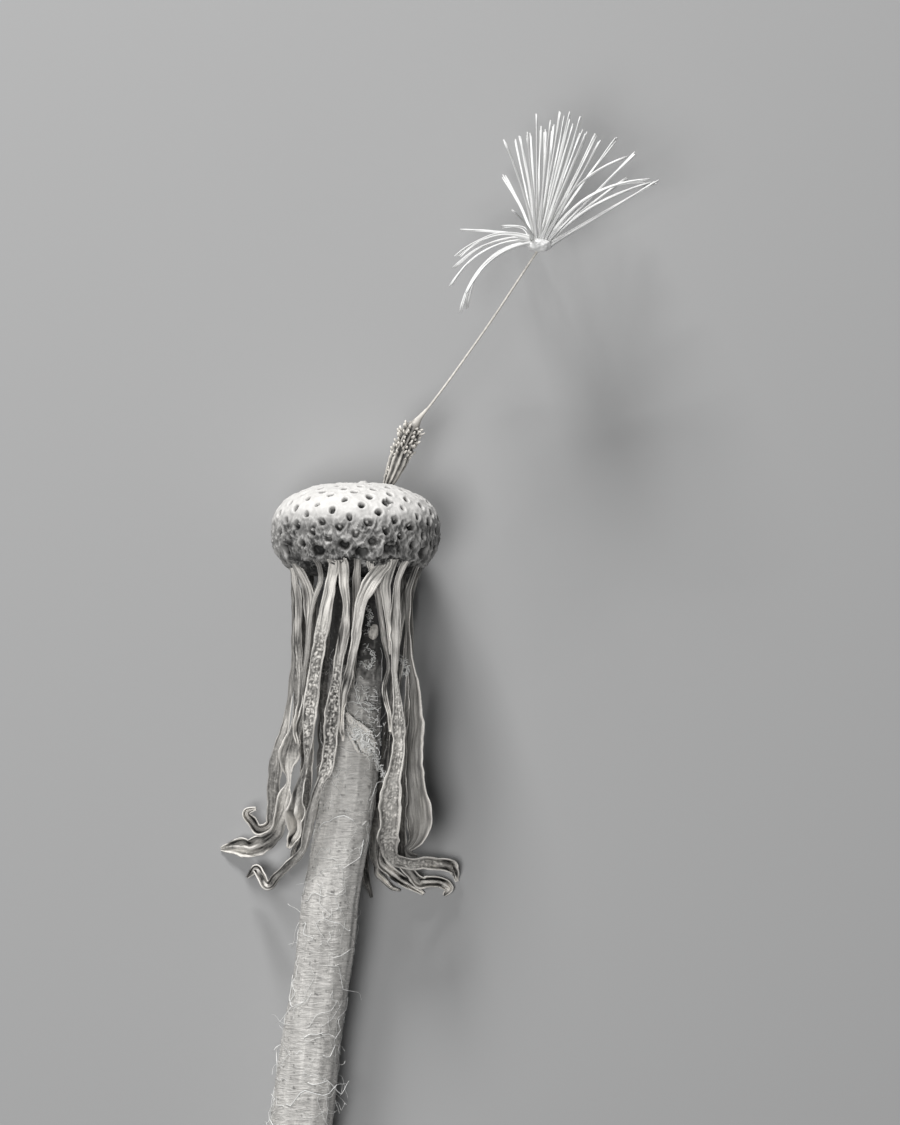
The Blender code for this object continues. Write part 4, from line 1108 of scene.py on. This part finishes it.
# %% The teeth on the seed's upper half
def make_teeth():
    """Blunt curved pegs in rings round the seed, leaning up and out, longest near the top; on the -X side
    small beads run on down to the foot."""
    middle, radius, right, up, forward, along = seed_frame(SEED_ROWS)
    level = np.repeat(np.linspace(TEETH_FROM, TEETH_TO, TEETH_ROWS), TEETH_ROUND)
    turn = np.tile(np.arange(TEETH_ROUND) * math.tau / TEETH_ROUND, TEETH_ROWS)
    low_level = random.uniform(BEADS_FROM, TEETH_FROM, LOW_BEADS)
    level = np.concatenate([level + random.normal(0, 0.05, level.shape), low_level])
    turn = np.concatenate([turn + random.normal(0, 0.13, turn.shape), random.uniform(1.9, 4.2, LOW_BEADS)])
    row = level / along[-1] * (SEED_ROWS - 1)
    spoke = round_about(turn, read_between(right, row), read_between(up, row))
    root = read_between(middle, row) + 0.80 * read_between(radius, row)[:, None] * spoke
    long = 0.10 + smooth(1.3, 1.9, level) * random.uniform(0.08, 0.22, level.shape)
    t = np.linspace(0.0, 1.0, 5)[None, :, None]
    lean = spoke[:, None] * (t - 0.30 * t**2)
    lean = lean + read_between(forward, row)[:, None] * (0.15 * t + 0.45 * t**2)
    lean = lean + random.normal(0, 0.16, (len(level), 1, 3)) * t
    paths = root[:, None] + long[:, None, None] * lean
    thick = random.uniform(0.045, 0.075, (len(level), 1)) * (1.0, 1.0, 0.95, 0.9, 0.5)
    thick = thick * np.where(level < TEETH_FROM, 0.6, 1.0)[:, None]
    tone = np.repeat((0.22, 0.42, 0.75, 1.0, 1.0) * random.uniform(0.75, 1.0, (len(level), 1)), 6)
    return piece_of("seed_teeth", *strands(paths, thick, 6), seed_finish, "seed_coat", tone=tone)


teeth = make_teeth()
print("teeth:", TEETH_ROUND * TEETH_ROWS + LOW_BEADS, "corners:", len(teeth.data.vertices))

# %% [markdown]
# ## The parachute
#
# The parachute is a ring of bristles. Damp has stuck them into strands, and some are bent back. A strand is
# an arc from the disc to its tip: a heading in the lying plane, a reach, a rise and a bow. Three to seven
# bristles share each arc, a little apart, and every bristle carries rows of tiny barbs.

# %% The strands
HUB = np.array((8.88, 13.61, 5.60))
# Each strand: heading in degrees, reach, rise and bow (mm), and how wide its bristles spread (mm).
TUFTS = (
    (28.3, 6.35, 0.90, -0.05, 0.14), (29.2, 6.15, -1.30, 0.42, 0.15), (30.6, 6.05, 1.80, 0.80, 0.13),
    (38.4, 5.35, -3.50, 0.10, 0.12), (43.6, 6.25, 1.60, 0.00, 0.14), (45.8, 5.90, -0.40, 0.72, 0.12),
    (54.9, 6.35, -1.50, 0.06, 0.11), (60.2, 5.60, 2.90, -0.04, 0.08), (63.6, 6.00, -2.50, -0.04, 0.11),
    (67.9, 5.60, 3.40, 0.00, 0.13), (70.4, 6.00, -3.00, 0.04, 0.09), (73.0, 6.45, 0.70, -0.04, 0.10),
    (75.0, 6.10, -1.10, 0.05, 0.10), (77.6, 6.35, 2.20, 0.02, 0.12), (79.9, 6.36, -2.20, 0.00, 0.09),
    (81.9, 6.38, 0.90, 0.04, 0.09), (84.0, 5.90, -3.30, -0.03, 0.09), (85.9, 5.80, 3.40, 0.05, 0.09),
    (88.0, 5.50, -0.50, -0.05, 0.14), (89.9, 5.75, -1.90, 0.05, 0.09), (92.2, 6.20, 1.50, 0.02, 0.10),
    (95.1, 5.50, -3.40, 0.04, 0.10), (97.9, 5.20, 3.60, 0.02, 0.10), (101.0, 5.32, -0.70, -0.04, 0.13),
    (103.2, 5.25, -2.60, 0.05, 0.10), (110.3, 5.20, 1.90, -0.10, 0.12), (117.5, 3.90, -3.60, -0.06, 0.11),
    (133.6, 2.05, 3.40, -0.08, 0.13), (168.6, 3.94, -1.60, -0.16, 0.12), (189.0, 4.15, 2.20, -0.66, 0.12),
    (194.0, 4.35, -1.60, -0.60, 0.11), (205.0, 4.85, 0.90, -0.80, 0.10), (219.5, 4.72, -2.20, -1.02, 0.14),
    (219.5, 5.10, -0.30, -0.96, 0.11), (214.0, 4.40, 3.00, -0.62, 0.10), (152.0, 2.10, -3.60, -0.34, 0.09),
)
BRISTLE_STEPS = 15
BARBS = 26
BRISTLE_RADIUS = 0.040
FEWEST_BRISTLES, NARROWEST, WIDER_BY = 3, 0.08, 0.02
ASIDE_MIDWAY, ASIDE_AT_TIP, WAVER = 0.24, 0.26, 0.04
LOWEST_BRISTLE = 0.2
BARB_LENGTHS = (0.05, 0.085)
DISC_RIM, DISC_LEAN = 0.48, math.radians(-30)


def bristle_paths(tuft, count):
    """Point = 2 t (1 - t) control + t squared tip + (1 - t) squared root, from the hub, each bristle's
    control and tip moved aside by its own share of the strand's width, and its root set out on the rim of
    the disc, which leans; a small waver is added along it."""
    heading, reach, rise, bow, width = tuft
    turn = math.radians(heading)
    tip = np.array((reach * math.cos(turn), reach * math.sin(turn), rise))
    aside = np.array((-math.sin(turn), math.cos(turn), 0.0))
    control = 0.5 * tip + 2 * bow * aside
    t = np.linspace(0.0, 1.0, BRISTLE_STEPS)[None, :, None]
    spread = random.normal(0.0, ASIDE_MIDWAY * width, (count, 1, 3))
    fan = random.normal(0.0, ASIDE_AT_TIP * width, (count, 1, 3))
    short = 1 - random.uniform(0.0, 0.05, (count, 1, 1)) * (np.arange(count) > 0)[:, None, None]
    rim = DISC_RIM * math.cos(turn - DISC_LEAN) * np.array((math.cos(DISC_LEAN), math.sin(DISC_LEAN), 0.0))
    root = rim + unit(control) * 0.10 + random.normal(0.0, 0.05, (count, 1, 3))
    path = 2 * t * (1 - t) * (control + spread) + t**2 * (tip + fan) * short + (1 - t) ** 2 * root
    seeds = np.arange(count)[:, None] * 9.7 + heading
    line = joined(3.0 * t[..., 0], seeds, rise)
    waver = np.stack([noise(line, 0.7, seed) for seed in (51, 52, 53)], axis=-1)
    path = HUB + path + WAVER * waver * t
    path[..., 2] = np.maximum(path[..., 2], LOWEST_BRISTLE)
    return path


def barb_paths(paths):
    """Barbs leave a bristle along it and a little outward: start + length * (forward + sideways)."""
    count = len(paths)
    place = random.uniform(1.5, BRISTLE_STEPS - 1.01, (count, BARBS))
    low = place.astype(int)
    part = (place - low)[..., None]
    bristle = np.arange(count)[:, None]
    start = paths[bristle, low] * (1 - part) + paths[bristle, low + 1] * part
    forward = unit(paths[bristle, low + 1] - paths[bristle, low])
    side = unit(np.cross(forward, random.normal(0, 1, forward.shape)))
    long = random.uniform(*BARB_LENGTHS, (count, BARBS, 1))
    end = start + long * (0.8 * forward + 0.6 * side)
    return np.stack([start, end], axis=2).reshape(-1, 2, 3)


def make_tuft(number, tuft):
    count = FEWEST_BRISTLES + round((tuft[4] - NARROWEST) / WIDER_BY)
    paths = bristle_paths(tuft, count)
    t = np.linspace(0.0, 1.0, BRISTLE_STEPS)[None, :]
    thick = BRISTLE_RADIUS * (1.0 + 1.1 * np.exp(-t / 0.14) - 0.12 * t)
    thick = thick * random.uniform(0.85, 1.15, (count, 1))
    corners, faces = strands(paths, thick, 5)
    barbs, barb_faces = strands(barb_paths(paths), np.tile([0.010, 0.003], (count * BARBS, 1)), 3)
    shifted = [part + len(corners) for part in barb_faces]
    name = f"pappus_tuft_{number:02d}"
    return piece_of(name + "_bristles", np.vstack([corners, barbs]), [*faces, *shifted], bristle_finish,
                    "bristle", (name,))


tufts = [make_tuft(number, tuft) for number, tuft in enumerate(TUFTS, start=1)]
print("strands:", len(tufts))

# The feet of the bristles have grown together into a white disc, which hides the top of the beak.
disc = make_lump("pappus_disc", HUB + (-0.03, 0.03, 0.02), (0.58, 0.36, 0.42), bristle_finish, "bristle", 1.0)
print("disc corners:", len(disc.data.vertices))
